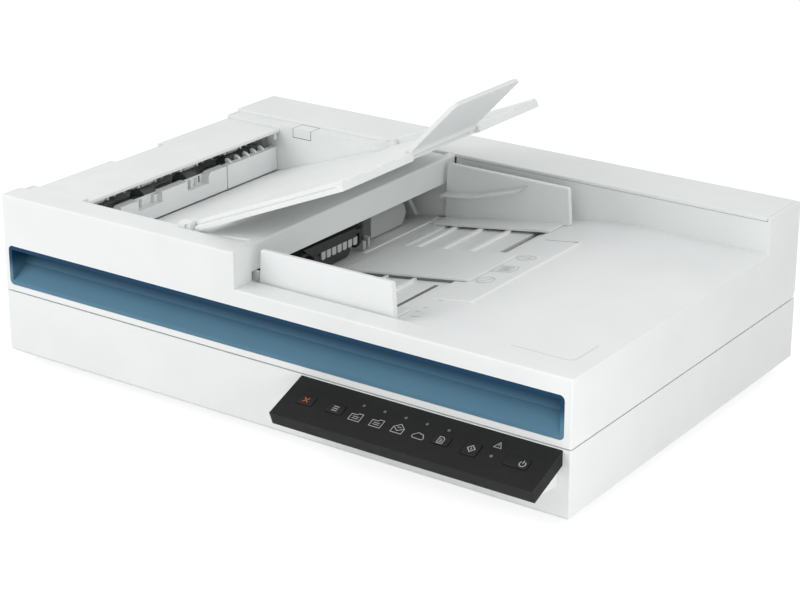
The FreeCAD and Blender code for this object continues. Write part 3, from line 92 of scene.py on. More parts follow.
# %% [markdown]
# The camera stands out to the right of the front and looks down on the lid by some nineteen degrees, with a
# long lens. A long lens keeps the edges of a box nearly parallel, as in a catalogue picture. The lens is
# shifted by a tenth of the picture's width, which slides the object in the frame and leaves its perspective
# alone.

# %% Camera
CAMERA_AZIMUTH = math.radians(35.076)
CAMERA_ELEVATION = math.radians(19.213)
CAMERA_PLACE = (1009.69, -966.62, 581.08)
FOCAL_PER_WIDTH = 2.663625
SENSOR_WIDTH = 36.0
LENS_SHIFT = -0.1

camera_data = bpy.data.cameras.new("camera")
camera = bpy.data.objects.new("camera", camera_data)
bpy.context.scene.collection.objects.link(camera)
camera_data.sensor_width = SENSOR_WIDTH
camera_data.lens = FOCAL_PER_WIDTH * SENSOR_WIDTH
camera_data.shift_y = LENS_SHIFT
camera_data.clip_start = 0.05
camera.location = at(*CAMERA_PLACE)
forward = Vector((-math.sin(CAMERA_AZIMUTH) * math.cos(CAMERA_ELEVATION),
                  math.cos(CAMERA_AZIMUTH) * math.cos(CAMERA_ELEVATION),
                  -math.sin(CAMERA_ELEVATION)))
camera.rotation_euler = forward.to_track_quat("-Z", "Y").to_euler()
bpy.context.scene.camera = camera
print("lens", round(camera_data.lens, 2), "mm")

# %% [markdown]
# The studio starts with a sky for even light. Making the sky brighter until it shows as white would also
# burn out the pale box. Light Path offers a better way: rays that come from the camera, a reflection or
# clear glass see plain white, and the light that falls on the object comes from a second, dimmer sky.

# %% A white sky that lights gently
SKY_LIGHT = 0.72
SKY_TINT = (0.985, 0.995, 1.0, 1)
WHITE = (1, 1, 1, 1)


def seen_or_lit(tree, seen, lit):
    """Mix two shaders: the first for camera, mirror and glass rays, the second for light that bounces."""
    nodes, links = tree.nodes, tree.links
    path = nodes.new("ShaderNodeLightPath")
    either = nodes.new("ShaderNodeMath")
    either.operation = "MAXIMUM"
    links.new(path.outputs["Is Camera Ray"], either.inputs[0])
    links.new(path.outputs["Is Glossy Ray"], either.inputs[1])
    any_ray = nodes.new("ShaderNodeMath")
    any_ray.operation = "MAXIMUM"
    links.new(either.outputs[0], any_ray.inputs[0])
    links.new(path.outputs["Is Transmission Ray"], any_ray.inputs[1])
    mix = nodes.new("ShaderNodeMixShader")
    links.new(any_ray.outputs[0], mix.inputs[0])
    links.new(lit, mix.inputs[1])
    links.new(seen, mix.inputs[2])
    return mix.outputs[0]


world = bpy.data.worlds.new("studio")
world.use_nodes = True
bpy.context.scene.world = world
sky = world.node_tree
sky.nodes.clear()
backdrop = sky.nodes.new("ShaderNodeBackground")
backdrop.inputs["Color"].default_value = WHITE
backdrop.inputs["Strength"].default_value = 1.0
ambient = sky.nodes.new("ShaderNodeBackground")
ambient.inputs["Color"].default_value = SKY_TINT
ambient.inputs["Strength"].default_value = SKY_LIGHT
sky_out = sky.nodes.new("ShaderNodeOutputWorld")
sky.links.new(seen_or_lit(sky, backdrop.outputs[0], ambient.outputs[0]), sky_out.inputs["Surface"])
print("sky light", SKY_LIGHT)

# %% [markdown]
# Large square lamps give soft edges to the shadows. The strongest stands close by, in front and to the
# left. The next hangs high on the right, so the right side of the box is a light grey and the corner reads
# clearly. Lamps this close fade with distance, and so they also shade the inside of the feeder. A small one
# low on the right brightens the near end of that side.

# %% Lamps
def soft_lamp(name, place, target, size, power):
    """A square lamp aimed at a point; sizes in metres, power in watts."""
    data = bpy.data.lights.new(name, "AREA")
    data.shape = "SQUARE"
    data.size = size
    data.energy = power
    lamp = bpy.data.objects.new(name, data)
    bpy.context.scene.collection.objects.link(lamp)
    lamp.location = place
    lamp.rotation_euler = (Vector(target) - Vector(place)).to_track_quat("-Z", "Y").to_euler()
    return lamp


soft_lamp("lamp_left", (-0.50, -0.80, 0.60), (-0.05, -0.05, 0.06), size=0.7, power=3.8)
soft_lamp("lamp_above", (0.85, 0.15, 0.95), (0, 0, 0.08), size=0.7, power=2.0)
soft_lamp("lamp_right", (0.44, -0.31, 0.13), (0.23, -0.12, 0.06), size=0.16, power=0.27)

# %% [markdown]
# The floor is part glow and part paint. The two add up to white in the open, and only the paint darkens
# where the box keeps light away, so a faint shadow stays under it. The light that bounces up from the floor
# comes from a plain pale paint instead. The floor lies a hair under the feet, so that the two never share a
# plane.

# %% Floor
FLOOR_GLOW = 0.80
FLOOR_SHADE = 0.32
FLOOR_BOUNCE = 0.86
FLOOR_SIZE = 12
FLOOR_DROP = 0.0002

bpy.ops.mesh.primitive_plane_add(size=FLOOR_SIZE, location=(0, 0, -FLOOR_DROP))
floor = bpy.context.object
floor.name = "floor"
floor_paint = bpy.data.materials.new("floor_paint")
floor_paint.use_nodes = True
paint = floor_paint.node_tree
paint.nodes.clear()
floor_glow = paint.nodes.new("ShaderNodeEmission")
floor_glow.inputs["Strength"].default_value = FLOOR_GLOW
floor_shade = paint.nodes.new("ShaderNodeBsdfDiffuse")
floor_shade.inputs["Color"].default_value = (FLOOR_SHADE, FLOOR_SHADE, FLOOR_SHADE, 1)
floor_seen = paint.nodes.new("ShaderNodeAddShader")
paint.links.new(floor_glow.outputs[0], floor_seen.inputs[0])
paint.links.new(floor_shade.outputs[0], floor_seen.inputs[1])
floor_lit = paint.nodes.new("ShaderNodeBsdfDiffuse")
floor_lit.inputs["Color"].default_value = (FLOOR_BOUNCE, FLOOR_BOUNCE, FLOOR_BOUNCE, 1)
paint_out = paint.nodes.new("ShaderNodeOutputMaterial")
paint.links.new(seen_or_lit(paint, floor_seen.outputs[0], floor_lit.outputs[0]), paint_out.inputs["Surface"])
floor.data.materials.append(floor_paint)
bpy.context.scene.view_settings.view_transform = "Standard"
print("floor", floor.name)

# %% [markdown]
# Moulded plastic is never one flat colour. The steel mould is etched, so the skin has a fine grain, and
# where the plastic cooled at different speeds it is a touch lighter or darker and a touch more or less
# shiny. Three noises at three scales say this: a fine one for the grain, a middle one for the gloss, and a
# broad one for the colour. First come the small helpers that every finish shares. Noise mostly keeps to the
# middle of its range, so both helpers that read it stretch that middle part. Lengths are in millimetres.

# %% Nodes that every finish shares
NOISE_LOW = 0.3
NOISE_HIGH = 0.7


def new_finish(name):
    """An empty node material: returns it with its shader, ready for nodes."""
    material = bpy.data.materials.new(name)
    material.use_nodes = True
    shader = material.node_tree.nodes["Principled BSDF"]
    return material, shader


def object_noise(tree, size_mm, detail=2.0, stretch=(1, 1, 1)):
    """Noise whose blobs are about size_mm across, fixed to the object."""
    place = tree.nodes.new("ShaderNodeTexCoord")
    scaled = tree.nodes.new("ShaderNodeMapping")
    scaled.inputs["Scale"].default_value = stretch
    tree.links.new(place.outputs["Object"], scaled.inputs["Vector"])
    noise = tree.nodes.new("ShaderNodeTexNoise")
    noise.inputs["Scale"].default_value = 1 / (size_mm * MM)
    noise.inputs["Detail"].default_value = detail
    tree.links.new(scaled.outputs["Vector"], noise.inputs["Vector"])
    return noise.outputs["Fac"]


def between(tree, factor, low, high):
    """Map the middle of a noise onto low to high."""
    span = tree.nodes.new("ShaderNodeMapRange")
    span.inputs["From Min"].default_value = NOISE_LOW
    span.inputs["From Max"].default_value = NOISE_HIGH
    span.inputs["To Min"].default_value = low
    span.inputs["To Max"].default_value = high
    tree.links.new(factor, span.inputs["Value"])
    return span.outputs["Result"]


def tinted(tree, factor, dark, light):
    """Blend two colours by a noise."""
    ramp = tree.nodes.new("ShaderNodeValToRGB")
    ramp.color_ramp.elements[0].position = NOISE_LOW
    ramp.color_ramp.elements[0].color = (*dark, 1)
    ramp.color_ramp.elements[1].position = NOISE_HIGH
    ramp.color_ramp.elements[1].color = (*light, 1)
    tree.links.new(factor, ramp.inputs["Fac"])
    return ramp.outputs["Color"]


def raised(tree, height, depth_mm, strength, under=None):
    """Turn a factor into small hills on the surface, on top of another bump if one is given."""
    bump = tree.nodes.new("ShaderNodeBump")
    bump.inputs["Strength"].default_value = strength
    bump.inputs["Distance"].default_value = depth_mm * MM
    tree.links.new(height, bump.inputs["Height"])
    if under is not None:
        tree.links.new(under, bump.inputs["Normal"])
    return bump.outputs["Normal"]


print("noise is read from", NOISE_LOW, "to", NOISE_HIGH)

# %% [markdown]
# With the helpers in place, one short recipe makes every plastic on the scanner. The white of the housing
# is a little cool. The console is nearly black and fairly dull, and the buttons on it are blacker still.

# %% Moulded plastic
CLOUD_MM = 45
SHINE_MM = 6
SHINE_DRIFT = 0.06
GRAIN_STRENGTH = 0.35
REFRACTION = 1.5


def moulded(name, colour, roughness, grain_mm=0.35, grain_depth=0.02, drift=0.02, gloss=0.5):
    """Moulded plastic with an etched grain; gloss is how strongly it mirrors."""
    material, shader = new_finish(name)
    tree = material.node_tree
    dark = [c * (1 - drift) for c in colour]
    light = [min(1, c * (1 + drift)) for c in colour]
    tree.links.new(tinted(tree, object_noise(tree, CLOUD_MM, 3), dark, light), shader.inputs["Base Color"])
    shine = between(tree, object_noise(tree, SHINE_MM, 3), roughness - SHINE_DRIFT, roughness + SHINE_DRIFT)
    tree.links.new(shine, shader.inputs["Roughness"])
    grain = raised(tree, object_noise(tree, grain_mm, 2), grain_depth, GRAIN_STRENGTH)
    tree.links.new(grain, shader.inputs["Normal"])
    shader.inputs["IOR"].default_value = REFRACTION
    shader.inputs["Specular IOR Level"].default_value = gloss
    return material


FINISHES = {
    "white_housing": moulded("white_housing", (0.80, 0.815, 0.81), 0.42),
    "white_inner": moulded("white_inner", (0.81, 0.825, 0.82), 0.5, grain_mm=0.5),
    "black_panel": moulded("black_panel", (0.012, 0.012, 0.0125), 0.6, grain_mm=0.3, grain_depth=0.03,
                           drift=0.12, gloss=0.2),
    "black_inner": moulded("black_inner", (0.022, 0.022, 0.024), 0.45, drift=0.1),
    "button_black": moulded("button_black", (0.006, 0.006, 0.006), 0.4, grain_mm=0.2, grain_depth=0.01,
                            drift=0.1, gloss=0.3),
    "blue_grip": moulded("blue_grip", (0.055, 0.175, 0.28), 0.5, drift=0.05, gloss=0.15),
    "gear_plastic": moulded("gear_plastic", (0.78, 0.77, 0.72), 0.35, drift=0.04),
    "lamp_plastic": moulded("lamp_plastic", (0.15, 0.155, 0.15), 0.25, drift=0.05),
}
print("plastics", sorted(FINISHES))

# %% [markdown]
# The blue grip is a deep curved hollow. It is taken to be one even blue on the real object, which looks much
# darker under the top edge because little light gets in there. The broad soft light of this studio fills
# the hollow, so the shade is painted into the finish, by height. That is a shortcut: it makes the grip dark
# under the edge in any light. Height is read from the piece's own coordinates, so the tone stays put when
# the lid is opened.

# %% Blue that deepens towards the top
GRIP_PALE = (0.095, 0.21, 0.30)
GRIP_DEEP = (0.006, 0.045, 0.10)
GRIP_FADE = (0.065, 0.079)
grip_shader = FINISHES["blue_grip"].node_tree.nodes["Principled BSDF"]
grip_tree = FINISHES["blue_grip"].node_tree
grip_place = grip_tree.nodes.new("ShaderNodeTexCoord")
grip_axes = grip_tree.nodes.new("ShaderNodeSeparateXYZ")
grip_tree.links.new(grip_place.outputs["Object"], grip_axes.inputs[0])
grip_height = grip_tree.nodes.new("ShaderNodeMapRange")
grip_height.interpolation_type = "SMOOTHSTEP"
grip_height.inputs["From Min"].default_value = GRIP_FADE[0]
grip_height.inputs["From Max"].default_value = GRIP_FADE[1]
grip_tree.links.new(grip_axes.outputs["Z"], grip_height.inputs["Value"])
grip_tone = grip_tree.nodes.new("ShaderNodeMix")
grip_tone.data_type = "RGBA"
grip_tone.inputs["B"].default_value = (*GRIP_DEEP, 1)
pale_noise = tinted(grip_tree, object_noise(grip_tree, CLOUD_MM, 3), [c * 0.95 for c in GRIP_PALE], GRIP_PALE)
grip_tree.links.new(pale_noise, grip_tone.inputs["A"])
grip_tree.links.new(grip_height.outputs["Result"], grip_tone.inputs["Factor"])
grip_tree.links.new(grip_tone.outputs["Result"], grip_shader.inputs["Base Color"])
print("grip piece stands at", [round(v, 4) for v in NODES["grip_recess"].matrix_world.translation])

# %% [markdown]
# The pieces that are not plastic get their own recipes. Drawn steel carries fine scratches along one way,
# so its noise is stretched a lot along that axis and left fine across it.

# %% Steel
METAL_LINE_MM = 0.4
ALONG_STRETCH = 0.04


def drawn_metal(name, colour, roughness, along):
    """Bright metal with fine lines along one axis."""
    material, shader = new_finish(name)
    tree = material.node_tree
    stretch = [ALONG_STRETCH if axis == along else 1.0 for axis in range(3)]
    lines = object_noise(tree, METAL_LINE_MM, 4, stretch)
    dark = [c * 0.86 for c in colour]
    tree.links.new(tinted(tree, lines, dark, colour), shader.inputs["Base Color"])
    tree.links.new(between(tree, lines, roughness - 0.08, roughness + 0.1), shader.inputs["Roughness"])
    tree.links.new(raised(tree, lines, 0.02, 0.3), shader.inputs["Normal"])
    shader.inputs["Metallic"].default_value = 1.0
    return material


FINISHES["bright_steel"] = drawn_metal("bright_steel", (0.62, 0.63, 0.65), 0.28, 0)
FINISHES["motor_can"] = drawn_metal("motor_can", (0.46, 0.47, 0.49), 0.38, 1)
print("finishes with steel", len(FINISHES))

# %% [markdown]
# Rubber is dull with a soft mottle. A tyre that grips sheets has fine ribs round it, and a wave texture
# gives these as bump, because they are too fine to be worth a mesh.

# %% Rubber
WAVE_PER_RIB = 0.314


def rubbery(name, colour, roughness, rib_mm=None):
    """Rubber with a fine mottle, and ribs round the roller if a spacing is given."""
    material, shader = new_finish(name)
    tree = material.node_tree
    dark = [c * 0.75 for c in colour]
    tree.links.new(tinted(tree, object_noise(tree, 2.0, 4), dark, colour), shader.inputs["Base Color"])
    tree.links.new(between(tree, object_noise(tree, 1.0, 3), roughness - 0.07, roughness + 0.07),
                   shader.inputs["Roughness"])
    normal = raised(tree, object_noise(tree, 0.25, 3), 0.03, 0.5)
    if rib_mm:
        place = tree.nodes.new("ShaderNodeTexCoord")
        wave = tree.nodes.new("ShaderNodeTexWave")
        wave.bands_direction = "Y"
        wave.inputs["Scale"].default_value = WAVE_PER_RIB / (rib_mm * MM)
        tree.links.new(place.outputs["Object"], wave.inputs["Vector"])
        normal = raised(tree, wave.outputs["Fac"], 0.15, 0.5, normal)
    tree.links.new(normal, shader.inputs["Normal"])
    return material


FINISHES["black_rubber"] = rubbery("black_rubber", (0.035, 0.035, 0.036), 0.75)
FINISHES["roller_rubber"] = rubbery("roller_rubber", (0.045, 0.045, 0.048), 0.7, rib_mm=2.5)
FINISHES["grey_rubber"] = rubbery("grey_rubber", (0.17, 0.17, 0.175), 0.7)
print("finishes with rubber", len(FINISHES))

# %% [markdown]
# Glass is clear with a little green in it. A circuit board is green lacquer over thin copper tracks, which
# a grid of lines can suggest. The film on the pad is smooth with a faint sponge under it, so it is a
# plastic with a coarser and deeper grain.

# %% Glass, circuit board and foam
GLASS_CLEARNESS = 0.92
TRACK_GRID_MM = 9


def clear_pane(name, tint, roughness):
    """Clear glass with a trace of dust that shows only in the gloss."""
    material, shader = new_finish(name)
    tree = material.node_tree
    light = [min(1, c * 1.03) for c in tint]
    tree.links.new(tinted(tree, object_noise(tree, 30, 3), tint, light), shader.inputs["Base Color"])
    dust = between(tree, object_noise(tree, 12, 4), roughness, roughness + 0.04)
    tree.links.new(dust, shader.inputs["Roughness"])
    shader.inputs["Transmission Weight"].default_value = GLASS_CLEARNESS
    shader.inputs["IOR"].default_value = REFRACTION
    return material


def lacquered_board(name):
    """Green solder lacquer with paler tracks."""
    material, shader = new_finish(name)
    tree = material.node_tree
    place = tree.nodes.new("ShaderNodeTexCoord")
    tracks = tree.nodes.new("ShaderNodeTexBrick")
    tracks.inputs["Scale"].default_value = 1 / (TRACK_GRID_MM * MM)
    tracks.inputs["Mortar Size"].default_value = 0.03
    tracks.inputs["Color1"].default_value = (0.015, 0.12, 0.05, 1)
    tracks.inputs["Color2"].default_value = (0.018, 0.14, 0.06, 1)
    tracks.inputs["Mortar"].default_value = (0.05, 0.26, 0.11, 1)
    tree.links.new(place.outputs["Object"], tracks.inputs["Vector"])
    tree.links.new(tracks.outputs["Color"], shader.inputs["Base Color"])
    tree.links.new(between(tree, object_noise(tree, 4, 3), 0.25, 0.4), shader.inputs["Roughness"])
    tree.links.new(raised(tree, tracks.outputs["Fac"], 0.04, 0.4), shader.inputs["Normal"])
    return material


FINISHES["white_foam"] = moulded("white_foam", (0.86, 0.86, 0.85), 0.3, grain_mm=1.6, grain_depth=0.08)
FINISHES["clear_glass"] = clear_pane("clear_glass", (0.90, 0.96, 0.94), 0.02)
FINISHES["lens_glass"] = clear_pane("lens_glass", (0.75, 0.86, 0.80), 0.06)
FINISHES["circuit_board"] = lacquered_board("circuit_board")
print("finishes with glass, board and foam", len(FINISHES))

# %% [markdown]
# Every CAD piece names the finish it should have. One loop hands them out, and one piece is then changed:
# the roller at the sheet exit is paler than the other rollers.

# %% Finishes on the CAD pieces
for row in frame["record"]["subparts"]:
    mesh = NODES[row["node"]].data
    mesh.materials.clear()
    mesh.materials.append(FINISHES[row["material_slot"]])
NODES["exit_roller"].data.materials[0] = FINISHES["grey_rubber"]
print("finishes", len(FINISHES))

# %% [markdown]
# Sharp edges give a computer model away. Every moulded edge on the real object has a small radius that
# catches a line of light. A bevel modifier adds that radius to the CAD pieces without touching their own
# points. The pieces arrive as loose triangles, so each is first welded, and its flat faces are merged. The
# side frames and the deck are left sharp: on their many small steps a bevel leaves speckled shading.

# %% Soft edges on the CAD pieces
SHARP = math.radians(28)
WELD_MM = 0.002
FLAT = math.radians(0.4)
ROUNDED = {
    "lid_shell": 0.8, "base_tub": 0.6, "centre_panel": 0.3, "guide_front": 0.35, "guide_rear": 0.35,
    "output_floor": 0.5, "feeder_cover": 0.3, "output_tray": 0.4, "tray_flap": 0.35, "control_panel": 0.45,
    "grip_recess": 0.45, "pick_arm": 0.4, "lower_chute": 0.3, "panel_wedge": 0.5,
}


def soften(node, width_mm):
    """Round a CAD piece's sharp edges by width_mm."""
    piece = NODES[node]
    weld = piece.modifiers.new("weld", "WELD")
    weld.merge_threshold = WELD_MM * MM
    merge = piece.modifiers.new("merge_flats", "DECIMATE")
    merge.decimate_type = "DISSOLVE"
    merge.angle_limit = FLAT
    edge = piece.modifiers.new("rounded_edges", "BEVEL")
    edge.width = width_mm * MM
    edge.segments = 2
    edge.limit_method = "ANGLE"
    edge.angle_limit = SHARP
    piece.modifiers.new("even_shading", "WEIGHTED_NORMAL")


for node, width in ROUNDED.items():
    soften(node, width)
print("softened", len(ROUNDED), "pieces")

# %% [markdown]
# The small pieces below are all made the same way. An outline is drawn in millimetres on a flat sheet,
# given a thickness, and carried to its place by a function that knows where the sheet lies: on the tilted
# panel, on the sloping deck, or upright. Here are the first two places. The control panel slopes down to
# the front, and the sheet deck is level on the right and slopes down to the mouth from a bend on.

# %% Places on the panel and on the deck
PANEL_TILT = math.radians(21.6)
PANEL_TOP = 51.9
DECK_TOP = 97.4
KINK_X = 343.4
RAMP_ANGLE = math.radians(8.0)


def on_panel(x, down, lift=0.0):
    """Place on the control panel: down its slope, and lifted off its face."""
    return at(x, -down * math.cos(PANEL_TILT) - lift * math.sin(PANEL_TILT),
              PANEL_TOP - down * math.sin(PANEL_TILT) + lift * math.cos(PANEL_TILT))


def ramp_z(x):
    """Height of the sheet deck at x."""
    return DECK_TOP - max(0.0, KINK_X - x) * math.tan(RAMP_ANGLE)


def on_ramp(x, y, lift=0.0):
    """Place on the sloping sheet deck, or on the level deck past its bend."""
    return at(x, y, ramp_z(x) + lift)


print("deck falls by", round(DECK_TOP - ramp_z(200.0), 1), "mm at the mouth")

# %% [markdown]
# Once its mesh is drawn, each new piece needs the same three things: faces that point outwards, a finish
# and a body to ride. A piece on the lid rides the lid, so it swings with it, and nothing else has to be
# said about its motion.


def finished_piece(name, bm, finish, body):
    """Turn a drawn shape into an object with a finish, riding one body of the frame."""
    bmesh.ops.recalc_face_normals(bm, faces=bm.faces)
    mesh = bpy.data.meshes.new(name)
    bm.to_mesh(mesh)
    bm.free()
    mesh.materials.append(FINISHES[finish])
    piece = bpy.data.objects.new(name, mesh)
    bpy.context.scene.collection.objects.link(piece)
    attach(piece, body)
    return piece


def made(*starts):
    """Names of the new pieces that begin with one of these words."""
    return sorted(o.name for o in bpy.data.objects if o.name.startswith(starts) and o.name not in NODES)


# %% [markdown]
# Two kinds of drawing are enough. A slab is an outline with a thickness. A stroke is a line with a width,
# used for printed and raised symbols; where it turns, its corner is mitred, and the mitre is kept short at
# sharp turns so that it doesn't grow into a spike.

# %% Slabs, strokes and arcs
SHORTEST_MITRE = 0.35
SAME_POINT = 1e-9


def slab(bm, outline, place, low, high):
    """Give an outline a thickness: place(u, w, height) says where each of its points goes."""
    rings = [[bm.verts.new(place(u, w, height)) for u, w in outline] for height in (low, high)]
    count = len(outline)
    for i in range(count):
        j = (i + 1) % count
        bm.faces.new((rings[0][i], rings[0][j], rings[1][j], rings[1][i]))
    bm.faces.new(rings[0][::-1])
    bm.faces.new(rings[1])


def stroke(bm, points, width, place, low, high, closed=False):
    """A line of even width through the points, with mitred corners."""
    count = len(points)
    rows = []
    for i, (u, w) in enumerate(points):
        before = points[(i - 1) % count] if closed or i > 0 else points[i]
        after = points[(i + 1) % count] if closed or i < count - 1 else points[i]
        ways = []
        for a, b in ((before, (u, w)), ((u, w), after)):
            reach = math.hypot(b[0] - a[0], b[1] - a[1])
            if reach > SAME_POINT:
                ways.append(((a[1] - b[1]) / reach, (b[0] - a[0]) / reach))
        aside = (sum(v[0] for v in ways), sum(v[1] for v in ways))
        long = math.hypot(*aside) or 1.0
        aside = (aside[0] / long, aside[1] / long)
        lean = max(SHORTEST_MITRE, aside[0] * ways[0][0] + aside[1] * ways[0][1])
        half = width / 2 / lean
        left = (u + aside[0] * half, w + aside[1] * half)
        right = (u - aside[0] * half, w - aside[1] * half)
        rows.append([bm.verts.new(place(*left, high)), bm.verts.new(place(*right, high)),
                     bm.verts.new(place(*right, low)), bm.verts.new(place(*left, low))])
    for i in range(count if closed else count - 1):
        a, b = rows[i], rows[(i + 1) % count]
        for k in range(4):
            m = (k + 1) % 4
            bm.faces.new((a[k], b[k], b[m], a[m]))
    if not closed:
        bm.faces.new(rows[0])
        bm.faces.new(rows[-1][::-1])


def arc(cu, cw, radius, start, end, steps=14):
    """Points on a circle from start to end, in degrees."""
    turns = [math.radians(start + (end - start) * i / steps) for i in range(steps + 1)]
    return [(cu + radius * math.cos(t), cw + radius * math.sin(t)) for t in turns]


print("a quarter turn has", len(arc(0, 0, 1, 0, 90)), "points")

# %% [markdown]
# The symbols on the control panel are printed in light grey ink, so they are thin strokes that stand a few
# hundredths of a millimetre off the surface. The two folders, the envelope and the cloud say where a scan
# can go; bars stand in for the words inside them.

# %% Symbols on the control panel
INK = 0.03
STROKE = 0.5
FINISHES["print_grey"] = moulded("print_grey", (0.37, 0.37, 0.355), 0.5, grain_mm=0.2, grain_depth=0.005)
FINISHES["print_orange"] = moulded("print_orange", (0.46, 0.09, 0.035), 0.5, grain_mm=0.2, grain_depth=0.005)


def symbol(name, x, down, lines, body="base", lift=0.0, width=STROKE, finish="print_grey"):
    """Print lines, given as (closed, points) around the symbol's middle, on the panel or on a button."""
    def place(u, w, height):
        return on_panel(x + u, down - w, lift + height)

    bm = bmesh.new()
    for closed, points in lines:
        stroke(bm, points, width, place, -INK, INK, closed)
    return finished_piece(name, bm, finish, body)


folder = [(True, [(-4.0, -3.1), (3.9, -3.1), (3.9, 3.2), (0.8, 3.2), (0.0, 2.0), (-4.0, 2.0)]),
          (False, [(-2.3, 0.3), (2.3, 0.3)]), (False, [(-2.3, -1.2), (2.3, -1.2)])]
symbol("panel_folder_left", 311.2, 19.8, folder)
symbol("panel_folder_right", 326.7, 19.8, folder)
symbol("panel_envelope", 342.2, 19.2,
       [(True, [(-3.9, -3.4), (3.9, -3.4), (3.9, 1.0), (0.0, 4.0), (-3.9, 1.0)]),
        (False, [(-3.9, 1.0), (0.0, -1.6), (3.9, 1.0)]), (False, [(-1.5, 1.3), (1.5, 1.3)])])
cloud = (arc(-2.5, -0.8, 1.6, 250, 100, 6) + arc(-0.6, 0.4, 1.9, 150, 45, 6) + arc(1.6, 0.2, 1.6, 110, 10, 5)
         + arc(2.8, -1.2, 1.3, 60, -90, 6))
symbol("panel_cloud", 357.3, 19.9, [(True, cloud)])
symbol("panel_warning", 407.8, 9.8,
       [(True, [(-2.5, -1.9), (2.5, -1.9), (0.0, 2.5)]), (False, [(0.0, 0.9), (0.0, -0.4)])], width=0.45)
print("panel symbols", made("panel_"))

# %% [markdown]
# The symbols on the buttons ride with their button and sink with it when it is pressed. The buttons stand
# half a millimetre proud of the panel. Only the cancel cross is in colour.

# %% Symbols on the buttons
BUTTON_PROUD = 0.5
symbol("cancel_cross", 272.6, 18.3,
       [(False, [(-1.9, -1.9), (1.9, 1.9)]), (False, [(-1.9, 1.9), (1.9, -1.9)])],
       body="cancel", lift=BUTTON_PROUD, width=0.7, finish="print_orange")
symbol("menu_bars", 295.0, 18.3, [(False, [(-2.0, w), (2.0, w)]) for w in (-1.7, 0.0, 1.7)],
       body="menu", lift=BUTTON_PROUD, width=0.6)
symbol("document_sheet", 372.7, 18.6,
       [(True, [(-1.9, -2.6), (1.9, -2.6), (1.9, 1.2), (0.6, 2.6), (-1.9, 2.6)]),
        (False, [(-1.0, 0.8), (0.4, 0.8)]), (False, [(-1.0, -0.3), (1.0, -0.3)]),
        (False, [(-1.0, -1.4), (1.0, -1.4)])],
       body="document", lift=BUTTON_PROUD)
symbol("start_diamond", 393.8, 18.2,
       [(True, [(0.0, 2.6), (2.6, 0.0), (0.0, -2.6), (-2.6, 0.0)]), (False, [(0.0, 0.9), (0.0, -0.9)])],
       body="start", lift=BUTTON_PROUD, width=0.6)
symbol("power_mark", 429.2, 18.4,
       [(False, arc(0, -0.2, 2.0, 130, 410, 18)), (False, [(0.0, 2.6), (0.0, 0.1)])],
       body="power", lift=BUTTON_PROUD, width=0.62)
print("button symbols stand", BUTTON_PROUD, "mm above the panel")

# %% [markdown]
# The deck is one large moulding, and its marks are part of the mould: a shallow field with a border, three
# symbols that say which sheets may go in and which way up, and short ticks along the front guide for the
# sheet sizes. Here they stand a few tenths of a millimetre proud, in greys that a real raised mark gets
# from light and shade, so that grey is painted shade. The border is a painted highlight on the field's
# right and front steps and a painted shadow on its back step. The shallow dish near the front right
# corner is only outlined, by a grey line of painted shade along its front and right edges.

# %% Marks moulded into the deck
MARK_LOW = -0.3
MARK_HIGH = 0.25
# mark_grey is painted shade: the grey that a raised mark gets from light and shade.
FINISHES["mark_grey"] = moulded("mark_grey", (0.56, 0.57, 0.565), 0.5, drift=0.03)
# bright_rim is a whiter white that paints the light caught by lit edges, steps and rib tops.
FINISHES["bright_rim"] = moulded("bright_rim", (0.93, 0.935, 0.93), 0.35, drift=0.01)
# shadow_gap is dark: for seams, and as painted shade in slots and under steps.
FINISHES["shadow_gap"] = moulded("shadow_gap", (0.16, 0.165, 0.165), 0.7, drift=0.15)


def deck_mark(name, x, y, lines, width=0.55, high=MARK_HIGH, finish="mark_grey"):
    """Raise lines, given around the mark's middle, on the sheet deck."""
    def place(u, w, height):
        return on_ramp(x + u, y + w, height)

    bm = bmesh.new()
    for closed, points in lines:
        stroke(bm, points, width, place, MARK_LOW, high, closed)
    return finished_piece(name, bm, finish, "lid")


deck_mark("deck_no_binding", 319.0, 112.8,
          [(True, arc(0, 0, 6.0, 0, 345, 23)), (False, [(-4.2, -4.2), (4.2, 4.2)])])
deck_mark("deck_face_up", 319.0, 137.2,
          [(True, [(-8.0, -6.0), (6.5, -6.0), (8.0, 0.0), (6.5, 6.0), (-8.0, 6.0)]),
           (True, [(-4.5, -3.4), (4.5, -3.4), (4.5, 3.4), (-4.5, 3.4)])]
          + [(False, [(-3.0, w), (3.0, w)]) for w in (-1.8, 0.0, 1.8)])
deck_mark("deck_top_first", 319.0, 162.5,
          [(True, [(u * 1.25, w * 0.85) for u, w in arc(0, 0, 5.6, 0, 345, 23)]),
           (False, [(-3.6, 0.0), (3.6, 0.0)]), (False, [(1.6, 1.8), (3.6, 0.0), (1.6, -1.8)])])
deck_mark("size_marks", 314.0, 50.0,
          [(False, [(-2.0, 17.9), (2.0, 17.9)]), (False, [(-2.0, 2.3), (2.0, 2.3)]),
           (False, [(-3.0, -5.6), (1.0, -5.6)]), (False, [(0.0, -14.6), (8.0, -14.6)])], width=0.6)

# The border: painted highlight on the right and front steps, painted shadow on the back step.
deck_mark("field_border_right", 336.1, 137.0, [(False, [(0.0, -66.5), (0.0, 66.5)])], 1.6, 0.5, "bright_rim")
deck_mark("field_border_front", 322.0, 70.9, [(False, [(-14.0, 0.0), (14.0, 0.0)])], 0.6, 0.15, "bright_rim")
deck_mark("field_border_back", 322.5, 203.8, [(False, [(-14.0, 0.0), (14.0, 0.0)])], 0.45, 0.04, "shadow_gap")

# The dish's front and right edges: a grey line of painted shade.
DISH_SIDE = [(394.5, 23.6), (432.0, 23.0)] + arc(432.0, 28.5, 5.5, 270, 360, 6)[1:] + [(437.5, 52.0)]
dish = bmesh.new()
stroke(dish, DISH_SIDE, 0.6, on_ramp, -0.2, 0.04)
finished_piece("deck_dish_edge", dish, "mark_grey", "lid")
print("deck marks", made("deck_", "field_", "size_"))
